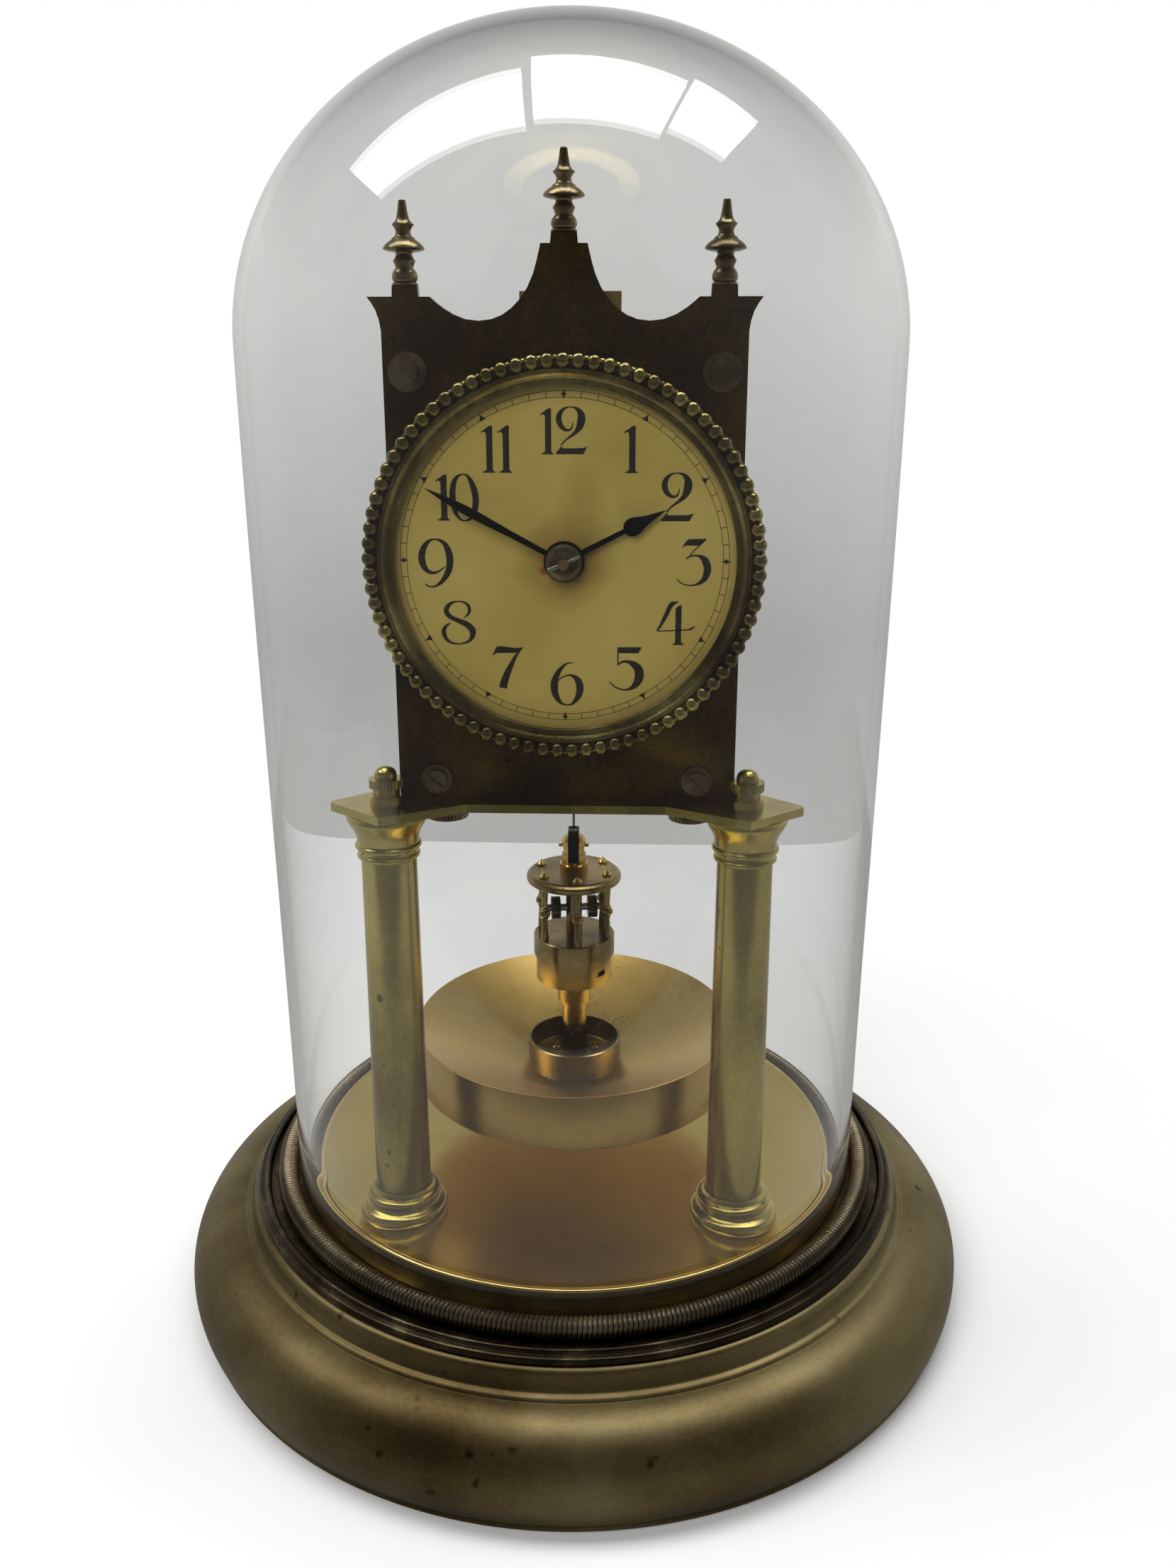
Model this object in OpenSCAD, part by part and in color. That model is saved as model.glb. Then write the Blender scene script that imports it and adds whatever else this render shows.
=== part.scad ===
// Anniversary clock (torsion-pendulum clock) under a glass dome.
// +Z is up, the dial faces -Y, and the origin is the centre of the base's underside.

/* [Base] */
// Largest radius of the spun base moulding
base_r = 100; // [96:0.5:104]
// Height of the flat plate that the columns stand on
floor_z = 36.8; // [35:0.1:38]
// Radius of that plate
floor_r = 66.6; // [64:0.1:66.8]

/* [Glass dome] */
// Outer radius of the dome at its open end
dome_foot_r = 71.7; // [71:0.1:71.9]
// Largest outer radius of the dome
dome_r = 73.4; // [72:0.1:74]
// Height of the dome's top above the table
dome_top_z = 300; // [294:1:306]
// Thickness of the glass
glass_t = 2.2; // [1.6:0.1:2.6]

/* [Columns and platform] */
// Half the distance between the columns
column_x = 39; // [38.5:0.1:40]
// Distance of the columns in front of the pendulum's axis
column_front = 37; // [36.5:0.1:37.5]
// Height of the platform's top face
platform_z = 139.2; // [138:0.1:141]
// Thickness of the platform
platform_t = 1.9; // [1.6:0.1:2.4]

/* [Movement] */
// Width of the plates
plate_w = 72.8; // [71:0.2:76]
// Height of the plates
plate_h = 94.8; // [94:0.2:96]
// Thickness of the plates
plate_t = 2.2; // [1.8:0.1:2.4]
// Distance of the front plate's face in front of the pendulum's axis
plate_front = 34.2; // [34:0.1:34.6]
// Radius of the bezel
bezel_r = 41; // [40:0.5:42]

/* [Pendulum] */
// Radius of the pendulum disc
disc_r = 40.4; // [36:0.2:42]
// Height of the disc's lower face
disc_z = 54.9; // [50:0.1:56]
// Height of the disc's rim
rim_h = 14; // [10:0.5:16]
// Half swing of the pendulum, in degrees
swing = 165; // [90:5:170]

/* [Hidden] */
$fn = 72;

// --- derived places -------------------------------------------------------
shelf_z = 28.8;                       // flat shelf of the base shell
groove_z = shelf_z + 1.4;             // floor of the groove that holds the dome
col_y = -column_front;
front_y = -plate_front;               // front face of the front plate
inner_y = front_y + plate_t;          // its back face
back_face_y = -8;                     // back face of the back plate
back_inner_y = back_face_y - plate_t; // its front face
plate_top = platform_z + plate_h;
dial_z = platform_z + 53;             // centre of the dial
dial_y = front_y - 3.0;               // back face of the dial plate
disc_top = disc_z + rim_h;
running = 0.05;                       // radial clearance of pivots

// Screw places on the plates, as [x, z].
plate_screw_at = [[-31.4, platform_z + 90.1], [31.4, platform_z + 90.1],
    [-28.2, platform_z + 4.8], [28.2, platform_z + 4.8]];
thumb_x = 27.2;
thumb_y = -27.5;

// --- going train: teeth, modules and arbor places -------------------------
great_n = 100;
slow_n = 80;
small_n = 10;
centre_n = 48;
third_n = 36;
pinion_n = 12;
escape_n = 20;
great_m = 0.45;
slow_m = 0.4;
fast_m = 0.5;
cd_barrel = great_m * (great_n + small_n) / 2;
cd_slow = slow_m * (slow_n + small_n) / 2;
cd_third = fast_m * (centre_n + pinion_n) / 2;
cd_escape = fast_m * (third_n + pinion_n) / 2;

function step(from, dist, dir) = [from[0] + dist * cos(dir), from[1] + dist * sin(dir)];
dir_third = 122;
dir_second = -10;
dir_first = -107;
dir_barrel = 195;
centre_at = [0, dial_z];
third_at = step(centre_at, cd_third, dir_third);
dir_escape = acos(-third_at[0] / cd_escape);
escape_at = step(third_at, cd_escape, dir_escape);
anchor_at = [0, escape_at[1] + 12.4];
second_at = step(centre_at, cd_slow, dir_second);
first_at = step(second_at, cd_slow, dir_first);
barrel_at = step(first_at, cd_barrel, dir_barrel);

// motion work behind the dial
cannon_n = 12;
minute_n = 36;
hour_n = 40;
cannon_m = 0.5;
cd_minute = cannon_m * (cannon_n + minute_n) / 2;
hour_m = 2 * cd_minute / (hour_n + small_n);
dir_minute = 205;
minute_at = step(centre_at, cd_minute, dir_minute);

pivot_r = 0.6;
arbor_r = 1.1;
train_at = [third_at, escape_at, second_at, first_at, anchor_at];

// hands: angles from twelve o'clock, clockwise
hour_hand_angle = 63;
minute_hand_angle = 298;

// --- escapement, fork and suspension --------------------------------------
fork_z = platform_z + 98.3;
fork_reach = 13.5;
anchor_pin_y = -fork_reach;
spring_top_z = 241.5;
spring_bottom_z = 118.5;
shelf_top_z = 245.5;

// --- pendulum stack --------------------------------------------------------
hub_r = 11.9;
hub_screw_angles = [for (i = [0:3]) 48 + 84 * (i % 2) + 180 * floor(i / 2)];
hub_bottom = disc_z + 1.7;
hub_top = hub_bottom + 7.1;
tube_top = 80.9;
drum_r = 10.2;
drum_low_r = 9.6;
drum_step_z = 87.4;
drum_top = 92.8;
gallery_z = 107.2;
gallery_t = 2.4;
gallery_r = 11.8;
post_ring = 9;
post_turn = 38;
head_z = gallery_z + gallery_t;
head_r = 3;
pin_z = 116.3;
spindle_z = 99.6;
spindle_turn = post_turn - 30;
spindle_r = 0.9;
spindle_post_r = 2;
weight_at = 4.6;

// --- helpers ---------------------------------------------------------------
// A solid of revolution about a vertical axis at [x, y], from [radius, z] points.
module turned(points, x = 0, y = 0) {
    translate([x, y, 0]) rotate_extrude() polygon(points);
}

// A flat shape in the X-Z plane, between two depths.
module slab(y_front, y_back, at = [0, 0]) {
    translate([at[0], y_back, at[1]]) rotate([90, 0, 0]) linear_extrude(y_back - y_front) children();
}

// A round bar along Y.
module bar_y(r, y_front, y_back, at) {
    translate([at[0], y_back, at[1]]) rotate([90, 0, 0]) cylinder(r = r, h = y_back - y_front);
}

module both_sides() {
    children();
    mirror([1, 0, 0]) children();
}

function deg(a) = a * 180 / PI;
function inv_angle(rb, r) = r <= rb ? 0 : deg(sqrt(r * r / (rb * rb) - 1)) - acos(rb / r);
PRESSURE = 25;
BACKLASH = 0.16;
function half_tooth(n, m, r) =
    let(rp = n * m / 2, rb = rp * cos(PRESSURE))
    90 / n * (1 - BACKLASH) + inv_angle(rb, rp) - inv_angle(rb, r);
function tooth_radii(n, m) =
    let(rp = n * m / 2) [rp - 1.1 * m, max(rp * cos(PRESSURE), rp - 0.7 * m), rp, rp + 0.8 * m];
function gear_points(n, m) = [
    for (i = [0:n - 1], s = [-1, 1], k = [0:3])
        let(j = s < 0 ? k : 3 - k, r = tooth_radii(n, m)[j],
            a = i * 360 / n + s * half_tooth(n, m, r))
        [r * cos(a), r * sin(a)]];

// A toothed wheel in its own plane, with a tooth centred on the angle "turn".
module gear(n, m, turn = 0) {
    rotate(turn) polygon(gear_points(n, m));
}

// Angle that puts a wheel of nb teeth in mesh with one of na teeth set at ta, seen in direction dir.
function mesh_turn(ta, na, nb, dir) = dir + 180 - 360 / nb * (0.5 - (dir - ta) * na / 360);

third_pinion_turn = mesh_turn(0, centre_n, pinion_n, dir_third);
escape_pinion_turn = mesh_turn(0, third_n, pinion_n, dir_escape);
second_turn = mesh_turn(0, small_n, slow_n, dir_second);
first_turn = mesh_turn(0, small_n, slow_n, dir_first);
great_turn = mesh_turn(0, small_n, great_n, dir_barrel);
minute_wheel_turn = mesh_turn(0, cannon_n, minute_n, dir_minute);
hour_wheel_turn = mesh_turn(0, small_n, hour_n, dir_minute + 180);

// Spokes cut out of a wheel, leaving a rim and a hub.
module crossed(r_rim, r_hub, count, arm) {
    difference() {
        children();
        difference() {
            circle(r = r_rim);
            circle(r = r_hub);
            for (i = [0:count - 1]) rotate(i * 360 / count) translate([0, -arm / 2]) square([r_rim + 1, arm]);
        }
    }
}

// An arbor with its two pivots in the plates.
module arbor(at) {
    bar_y(arbor_r, inner_y + 0.3, back_inner_y - 0.3, at);
    bar_y(pivot_r, inner_y - plate_t + 0.2, back_inner_y + plate_t - 0.2, at);
}

// A knurled rim: a round bar with fine grooves along it.
module knurled(r, h, count = 30) {
    linear_extrude(h) difference() {
        circle(r = r);
        for (i = [0:count - 1]) rotate(i * 360 / count) translate([r, 0]) circle(r = r * 0.05, $fn = 4);
    }
}

// --- base ------------------------------------------------------------------
rod_r = 2.35;
module rod_holes() both_sides() translate([column_x, col_y, 20]) cylinder(r = rod_r + 0.1, h = 30);

felt_t = 1.4;
bulge_c = [86.6, 9.4];
function bulge_point(a, shrink = 0) =
    [bulge_c[0] + (base_r - bulge_c[0] - shrink) * cos(a), bulge_c[1] + (13.6 - shrink) * sin(a)];
wall = 1.8;

module base_shell() color("#6b5f45") difference() {
    turned(concat(
        [[base_r - 2.2, 0.7], [base_r - 2.2 - wall, 0.7]],
        [for (a = [-36:18:90]) bulge_point(a, wall)],
        [[84.2 - wall, 24.8 - wall], [82.6 - wall, shelf_z - wall], [30, shelf_z - wall],
         [30, shelf_z], [82.6, shelf_z], [84.2, 25.6], [85.6, 24.6]],
        [for (a = [90:-9:-36]) bulge_point(a)]));
    rod_holes();
}

module base_board() color("#5a3d26") translate([0, 0, felt_t]) cylinder(r = base_r - 4.1, h = 5);

module felt_pad() color("#2f4a35") cylinder(r = base_r - 6.5, h = felt_t);

module seat_ring() color("#5d5440") turned([
    [floor_r + 0.2, shelf_z], [82.4, shelf_z], [82.5, 29.6], [81.4, 30.4], [80.9, 31.3],
    [80.2, 31.7], [79.5, 31.3], [79.2, groove_z], [floor_r + 0.2, groove_z]]);

coil_r = 2.5;
module coil_ring() color("#3c3630")
    translate([0, 0, groove_z + coil_r]) rotate_extrude() translate([74.9, 0]) circle(r = coil_r, $fn = 24);

module floor_plate() color("#b59a52") difference() {
    turned([[0, floor_z - 2.2], [floor_r - 2.2, floor_z - 2.2], [floor_r - 2.2, shelf_z],
        [floor_r, shelf_z], [floor_r, floor_z - 0.6], [floor_r - 0.6, floor_z], [0, floor_z]]);
    rod_holes();
}

// --- glass dome --------------------------------------------------------------
crown_h = 66;
function dome_wall(inset) =
    let(r1 = dome_foot_r - inset, r2 = dome_r - inset, z0 = groove_z + 0.3, z1 = dome_top_z - crown_h)
    concat([[r1, z0], [r1 + (r2 - r1) * 0.25, 100], [r1 + (r2 - r1) * 0.75, 180]],
        [for (a = [0:6:90]) [r2 * cos(a), z1 + (crown_h - inset) * sin(a)]]);
module glass_dome() color("#dfe8ea", 0.25) {
    outer = dome_wall(0);
    inner = dome_wall(glass_t);
    count = len(inner);
    turned(concat(outer, [for (i = [0:count - 1]) inner[count - 1 - i]]));
}

// --- columns -----------------------------------------------------------------
foot_top = floor_z + 7.2;
shaft_top = 126.8;
platform_low = platform_z - platform_t;

module column_feet() color("#a08a4c") both_sides() turned([
    [rod_r + 0.1, floor_z], [9.9, floor_z], [10, floor_z + 1.2], [9.6, floor_z + 2.3], [8.9, floor_z + 2.7],
    [8.2, floor_z + 3.4], [8, floor_z + 4], [8.5, floor_z + 4.4], [8.6, floor_z + 5.2], [8.1, floor_z + 5.9],
    [7.2, floor_z + 6.2], [6.8, foot_top], [rod_r + 0.1, foot_top]], column_x, col_y);

module columns() color("#a08a4c") both_sides() turned([
    [rod_r + 0.1, foot_top], [6.35, foot_top], [6, shaft_top], [rod_r + 0.1, shaft_top]], column_x, col_y);

module column_capitals() color("#a08a4c") both_sides() turned([
    [rod_r + 0.1, shaft_top], [6.2, shaft_top], [6.8, shaft_top + 0.5], [6.8, shaft_top + 1.1],
    [6.3, shaft_top + 1.6], [6.3, shaft_top + 2.2], [7.2, shaft_top + 2.7], [7.2, shaft_top + 3.4],
    [6.7, shaft_top + 3.9], [7, shaft_top + 5.6], [7.8, shaft_top + 7.2], [8.7, shaft_top + 8.2],
    [8.8, platform_low], [rod_r + 0.1, platform_low]], column_x, col_y);

rod_top = 147.5;
module tie_rods() color("#9a8448") both_sides() turned(concat(
    [[0, 20], [rod_r, 20]],
    [for (a = [0:15:90]) [rod_r * cos(a), rod_top - 1.8 + 1.8 * sin(a)]]), column_x, col_y);

module column_nuts() color("#8f7c4a") both_sides() translate([column_x, col_y, 0]) {
    difference() {
        translate([0, 0, platform_z]) cylinder(r1 = 3.6, r2 = 3.4, h = 1.7);
        translate([0, 0, platform_z - 1]) cylinder(r = rod_r + 0.05, h = 4);
    }
    difference() {
        union() {
            translate([0, 0, platform_z + 1.7]) cylinder(r = 2.9, h = 2.4);
            translate([0, 0, platform_z + 3.7]) knurled(3.6, 1.9);
        }
        translate([0, 0, platform_z]) cylinder(r = rod_r + 0.05, h = 10);
    }
}

module rod_end_nuts() color("#77683f") both_sides() translate([column_x, col_y, shelf_z - wall - 4])
    difference() {
        cylinder(r = 4.5, h = 4, $fn = 6);
        translate([0, 0, -1]) cylinder(r = rod_r + 0.05, h = 6);
    }

// --- platform ----------------------------------------------------------------
bar_front = -38;
bar_back = -6.5;
platform_half = [[0, bar_front], [21.5, bar_front], [column_x, col_y - 10.5], [column_x + 12, col_y - 0.6],
    [column_x + 12, col_y + 0.6], [column_x + 2, col_y + 9.5], [33, -21], [33, bar_back], [0, bar_back]];
module platform() color("#8a7a4e") translate([0, 0, platform_low]) difference() {
    linear_extrude(platform_t) both_sides() polygon(platform_half);
    both_sides() translate([column_x, col_y, -1]) cylinder(r = rod_r + 0.1, h = 5);
    both_sides() translate([thumb_x, thumb_y, -1]) cylinder(r = 1.6, h = 5);
}

module thumb_screws() color("#7b6c45") both_sides() translate([thumb_x, thumb_y, 0]) {
    translate([0, 0, platform_low - 4.2]) knurled(4.7, 4.2, 36);
    translate([0, 0, platform_low - 1]) cylinder(r = 1.5, h = platform_t + 4);
}

// --- movement plates ---------------------------------------------------------
module plate_outline() translate([-plate_w / 2, platform_z]) square([plate_w, plate_h]);
module pivot_holes(extra = 0) for (p = train_at) translate(p) circle(r = pivot_r + running + extra);
module screw_holes() for (p = plate_screw_at) translate(p) circle(r = 1.35);

click_at = step(barrel_at, 9.8, 60);
click_nose = step(barrel_at, 7.6, 115);
click_spring_at = [click_nose[0] + 1.5, click_nose[1] + 7];
click_play = 2.75;    // from the click's nose up to its spring, with room for the click to lift
click_screw_r = 0.9;
bracket_screw_at = [[-8.7, platform_z + 76.8], [8.7, platform_z + 76.8]];
bracket_screw_r = 1;
dial_foot_at = [for (a = [45, 165, 285]) step(centre_at, 30, a)];
stud_r = 0.9;

module front_plate() color("#4a3a22") {
    slab(front_y, inner_y) difference() {
        plate_outline();
        pivot_holes();
        screw_holes();
        translate(centre_at) circle(r = arbor_r + running);
        translate(barrel_at) circle(r = 1.5 + running);
        for (p = dial_foot_at) translate(p) circle(r = 1.1);
    }
    bar_y(stud_r, front_y - 2.5, front_y + 0.5, minute_at);
}

module back_plate() color("#4a3a22") slab(back_inner_y, back_face_y) difference() {
    plate_outline();
    pivot_holes();
    screw_holes();
    translate(centre_at) circle(r = pivot_r + running);
    translate(barrel_at) circle(r = 2.2 + running);
    for (p = [click_at, click_spring_at]) translate(p) circle(r = click_screw_r + 0.02);
    for (p = bracket_screw_at) translate(p) circle(r = bracket_screw_r + 0.02);
}

module movement_pillars() color("#a08a4c") for (i = [0:3]) difference() {
    bar_y(i < 2 ? 3 : 3.6, inner_y, back_inner_y, plate_screw_at[i]);
    bar_y(1.2, inner_y - 1, inner_y + 6, plate_screw_at[i]);
    bar_y(1.2, back_inner_y - 6, back_inner_y + 1, plate_screw_at[i]);
    if (i > 1) translate([thumb_x * sign(plate_screw_at[i][0]), thumb_y, platform_z - 1])
        cylinder(r = 1.5, h = 4.2);
}

screw_head_r = 2.3;
module slotted_screw(at, y_face, out, r_head = 2.3, r_shank = 1.2, length = 7) {
    // "out" is -1 when the head faces the front and 1 when it faces the back
    h = 1.5;
    y_head = min(y_face, y_face + out * h);
    difference() {
        bar_y(r_head, y_head, y_head + h, at);
        translate([at[0], y_face + out * h, at[1]]) rotate([0, 40, 0])
            cube([r_head * 3, 1.2, 0.6], center = true);
    }
    bar_y(r_shank, min(y_face, y_face - out * length), max(y_face, y_face - out * length), at);
}

washer_t = 0.8;
module plate_screws() color("#5a4a30") for (p = plate_screw_at) {
    slotted_screw(p, front_y - washer_t, -1, screw_head_r, 1.2, 7.5);
    slotted_screw(p, back_face_y, 1, screw_head_r, 1.2, 6.5);
}

module plate_washers() color("#6a5a3a") for (i = [0:3]) difference() {
    bar_y(i < 2 ? 3.9 : 3.3, front_y - washer_t, front_y, plate_screw_at[i]);
    bar_y(1.35, front_y - 2, front_y + 1, plate_screw_at[i]);
}

// --- pediment and finials -------------------------------------------------------
horn_z = plate_top + 9.5;
block_z = plate_top + 11.6;
spire_z = plate_top + 19.3;
peak_z = plate_top + 21.4;
side_x = 31.4;
pediment_half = [
    [0, plate_top], [36.4, plate_top], [36.4, plate_top + 3], [36.7, plate_top + 5], [37.3, plate_top + 6.9],
    [38.1, plate_top + 8.3], [39, horn_z], [side_x + 2.6, horn_z], [side_x + 2.5, block_z],
    [side_x - 2.5, block_z], [side_x - 2.6, horn_z], [26.6, horn_z], [25.3, horn_z - 1.1],
    [24, horn_z - 2.1], [22, horn_z - 3.3], [19.6, horn_z - 4.2], [16.9, horn_z - 4.5],
    [14.4, horn_z - 4.2], [12.3, horn_z - 3.4], [10.4, horn_z - 2.1], [8.6, horn_z - 0.3],
    [7.2, horn_z + 1.8], [6.1, horn_z + 4.2], [5.4, horn_z + 6.5], [4.9, horn_z + 8.5],
    [4.6, spire_z], [2.7, spire_z], [2.5, peak_z], [0, peak_z]];
module pediment() color("#4a3a22") {
    difference() {
        slab(front_y, inner_y) both_sides() polygon(pediment_half);
        translate([0, front_y + plate_t / 2, peak_z - 4]) cylinder(r = 0.8, h = 6);
        both_sides() translate([side_x, front_y + plate_t / 2, block_z - 4]) cylinder(r = 0.8, h = 6);
    }
    slab(inner_y, inner_y + 1.4) translate([-26, plate_top - 5]) square([52, 9]);
}

// Turned finial standing on z = base, with its stud going down into the pediment.
module finial(x, base, h) translate([x, front_y + plate_t / 2, base]) scale([1, 1, h / 15])
    rotate_extrude() polygon([
        [0, -3.6], [0.78, -3.6], [0.78, 0], [2.5, 0], [2.55, 0.35], [2.15, 0.5], [2.5, 1.1], [2.55, 1.7],
        [2.35, 2.4], [1.9, 2.9], [1.75, 3.2], [2.15, 4.2], [2.15, 4.5], [1.65, 5.3], [1.7, 5.7], [3.6, 6.1],
        [4.05, 6.5], [3.9, 6.9], [3, 7.7], [2.2, 8.3], [1.6, 8.8], [1.45, 9.6], [2.1, 10.7], [2.1, 10.9],
        [1.25, 11.7], [0.95, 13], [0.7, 14.8], [0.5, 15], [0, 15]]);
module finials() color("#8d7440") {
    finial(0, peak_z, 15);
    both_sides() finial(side_x, block_z, 15.6);
}

// --- dial and bezel --------------------------------------------------------------
dial_t = 0.8;
dial_front = dial_y - dial_t;
module dial_plate() color("#d9c9a0") {
    slab(dial_front, dial_y) difference() {
        translate(centre_at) circle(r = 37.6);
        translate(centre_at) circle(r = 3.4);
    }
    for (p = dial_foot_at) bar_y(1, dial_y - 0.2, inner_y + 0.5, p);
}

module bezel() color("#8d7c42") translate([centre_at[0], 0, centre_at[1]]) rotate([90, 0, 0])
    rotate_extrude() polygon(concat(
        [[bezel_r - 1.6, plate_front], [bezel_r - 0.6, plate_front], [bezel_r - 0.4, plate_front + 3.4]],
        [for (a = [-30:20:170]) [bezel_r - 1.5 + 1.5 * cos(a), plate_front + 4.6 + 1.5 * sin(a)]],
        [[bezel_r - 3.2, plate_front + 5], [bezel_r - 4.6, plate_front + 4.6],
         [bezel_r - 6.1, plate_front + 4.1], [bezel_r - 6.1, plate_front + 3.9],
         [bezel_r - 3, plate_front + 3.9], [bezel_r - 2.6, plate_front + 3.4]]));

// --- hands --------------------------------------------------------------------------
// Upper edge of each hand, which points along +X.
hour_outline = [
    [2.2, 0.6], [13.8, 0.5], [14, 1.1], [14.6, 1.6], [15.4, 1.85], [16.3, 1.8], [17.4, 1.4],
    [18.6, 0.95], [20.2, 0.6], [23.3, 0]];
minute_outline = [[2, 0.5], [12, 0.62], [20, 0.9], [22.5, 0.9], [27, 0.6], [31.7, 0]];
function mirror_outline(p) = concat(p, [for (i = [len(p) - 2:-1:0]) [p[i][0], -p[i][1]]]);

hour_y = dial_front - 1.1;
minute_y = hour_y - 1.3;
pipe_r = 2.6;
cannon_r = 1.75;
module hour_hand() color("#14161c") slab(hour_y - 0.4, hour_y, centre_at) difference() {
    union() {
        circle(r = 4.2);
        rotate(90 - hour_hand_angle) polygon(mirror_outline(hour_outline));
    }
    circle(r = pipe_r);
}

module minute_hand() color("#14161c") slab(minute_y - 0.4, minute_y, centre_at) difference() {
    union() {
        circle(r = 3.4);
        rotate(90 - minute_hand_angle) polygon(mirror_outline(minute_outline));
    }
    circle(r = cannon_r);
}

collet_y = minute_y - 0.4;
module hand_collet() color("#3a3428") translate([centre_at[0], collet_y, centre_at[1]]) rotate([90, 0, 0])
    rotate_extrude() polygon([[arbor_r, 0], [3.8, 0], [3.6, 0.4], [2.6, 0.9], [1.6, 1.1], [arbor_r, 1.1]]);

pin_y = collet_y - 1.7;
module pin_shape() translate([centre_at[0] - 3.2, pin_y, centre_at[1] - 1.4]) rotate([0, 66, 0])
    cylinder(r1 = 0.5, r2 = 0.3, h = 7, $fn = 24);
module taper_pin() color("#8a8a86") pin_shape();

// --- motion work ----------------------------------------------------------------------
motion_y = front_y - 0.4;
module cannon_pinion() color("#b8964a") difference() {
    union() {
        slab(motion_y - 0.9, motion_y, centre_at) gear(cannon_n, cannon_m);
        bar_y(cannon_r, minute_y - 0.4, motion_y - 0.8, centre_at);
    }
    bar_y(arbor_r, minute_y - 1, motion_y + 1, centre_at);
}

module minute_wheel() color("#b8964a") difference() {
    union() {
        slab(motion_y - 0.9, motion_y, minute_at) gear(minute_n, cannon_m, minute_wheel_turn);
        slab(motion_y - 2, motion_y - 0.8, minute_at) gear(small_n, hour_m);
    }
    bar_y(stud_r + running, motion_y - 3, motion_y + 1, minute_at);
}

module hour_wheel() color("#b8964a") difference() {
    union() {
        slab(motion_y - 2, motion_y - 1.2, centre_at) gear(hour_n, hour_m, hour_wheel_turn);
        bar_y(pipe_r, hour_y - 0.4, motion_y - 1.9, centre_at);
    }
    bar_y(cannon_r + running, hour_y - 1, motion_y, centre_at);
}

// --- barrel and winding work ----------------------------------------------------------
barrel_front = -27;
barrel_back = -13.9;
barrel_r = 19;
module barrel() color("#b8964a") difference() {
    union() {
        bar_y(barrel_r, barrel_front, barrel_back, barrel_at);
        slab(barrel_back - 0.1, barrel_back + 1.3, barrel_at) gear(great_n, great_m, great_turn);
    }
    bar_y(barrel_r - 1, barrel_front + 1.2, barrel_back - 0.2, barrel_at);
    bar_y(2.2 + running, barrel_front - 1, barrel_back + 3, barrel_at);
}

// Spiral strip between two radii, in the X-Z plane.
function spiral(r0, r1, turns, t, steps) = concat(
    [for (i = [0:steps]) let(a = 360 * turns * i / steps, r = r0 + (r1 - r0) * i / steps)
        [r * cos(a), r * sin(a)]],
    [for (i = [steps:-1:0]) let(a = 360 * turns * i / steps, r = r0 + (r1 - r0) * i / steps + t)
        [r * cos(a), r * sin(a)]]);
module mainspring() color("#3c4654") slab(barrel_front + 1.8, barrel_back - 0.8, barrel_at)
    polygon(spiral(6, barrel_r - 1.52, 7, 0.5, 140));

module winding_arbor() color("#8d8f92") {
    bar_y(1.5, inner_y - plate_t + 0.3, barrel_front - 0.5, barrel_at);
    bar_y(2.2, barrel_front - 0.6, back_face_y + 1.7, barrel_at);
    translate([barrel_at[0], -4.4, barrel_at[1]]) rotate([0, 20, 0]) cube([3, 4, 3], center = true);
}

ratchet_n = 18;
ratchet_r = 6.4;
ratchet_y = back_face_y + 0.3;
module ratchet_wheel() color("#8d8f92") slab(ratchet_y, ratchet_y + 1.2, barrel_at) difference() {
    polygon([for (i = [0:ratchet_n - 1], k = [0, 1]) let(a = i * 360 / ratchet_n, r = ratchet_r - 0.8 * k)
        [r * cos(a), r * sin(a)]]);
    circle(r = 2.2);
}

module click() color("#8d8f92") slab(ratchet_y, ratchet_y + 1.2) difference() {
    hull() {
        translate(click_at) circle(r = 1.9);
        translate(click_nose) circle(r = 0.6);
    }
    translate(click_at) circle(r = click_screw_r + running);
}

module click_spring() color("#46505c") slab(back_face_y, ratchet_y + 0.7) difference() {
    union() {
        translate(click_spring_at) circle(r = 1.8);
        translate([click_spring_at[0] - 2.6, click_nose[1] + click_play]) square([1, 7.3 - click_play]);
        translate([click_spring_at[0] - 2.6, click_nose[1] + click_play]) square([5, 0.5]);
    }
    translate(click_spring_at) circle(r = click_screw_r);
}

module back_screws() color("#6a5a3a") {
    slotted_screw(click_at, ratchet_y + 1.5, 1, 1.7, click_screw_r, 4);
    slotted_screw(click_spring_at, ratchet_y + 0.7, 1, 1.7, click_screw_r, 3.2);
    for (p = bracket_screw_at) slotted_screw(p, bracket_y, 1, 2, bracket_screw_r, 3.6);
}

// --- going train --------------------------------------------------------------------------
// Plane of each wheel and pinion, as [front, back].
first_wheel_y = [-31, -29.8];
first_pinion_y = [-15.4, -12];
second_wheel_y = [-22, -20.8];
second_pinion_y = [-31.3, -29.4];
centre_wheel_y = [-28.9, -27.8];
centre_pinion_y = [-22.6, -20.3];
third_wheel_y = [-24, -22.9];
third_pinion_y = [-29.3, -27.4];
escape_wheel_y = [-18.2, -17.2];
escape_pinion_y = [-24.5, -22.4];

module wheel_and_pinion(at, wheel_y, wheel_n, m_wheel, wheel_turn, pin_y2, pin_n, m_pin, pin_turn) {
    arbor(at);
    slab(wheel_y[0], wheel_y[1], at) crossed(m_wheel * wheel_n / 2 - 2.2, 2.8, 5, 1.4)
        gear(wheel_n, m_wheel, wheel_turn);
    slab(pin_y2[0], pin_y2[1], at) gear(pin_n, m_pin, pin_turn);
}

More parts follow.
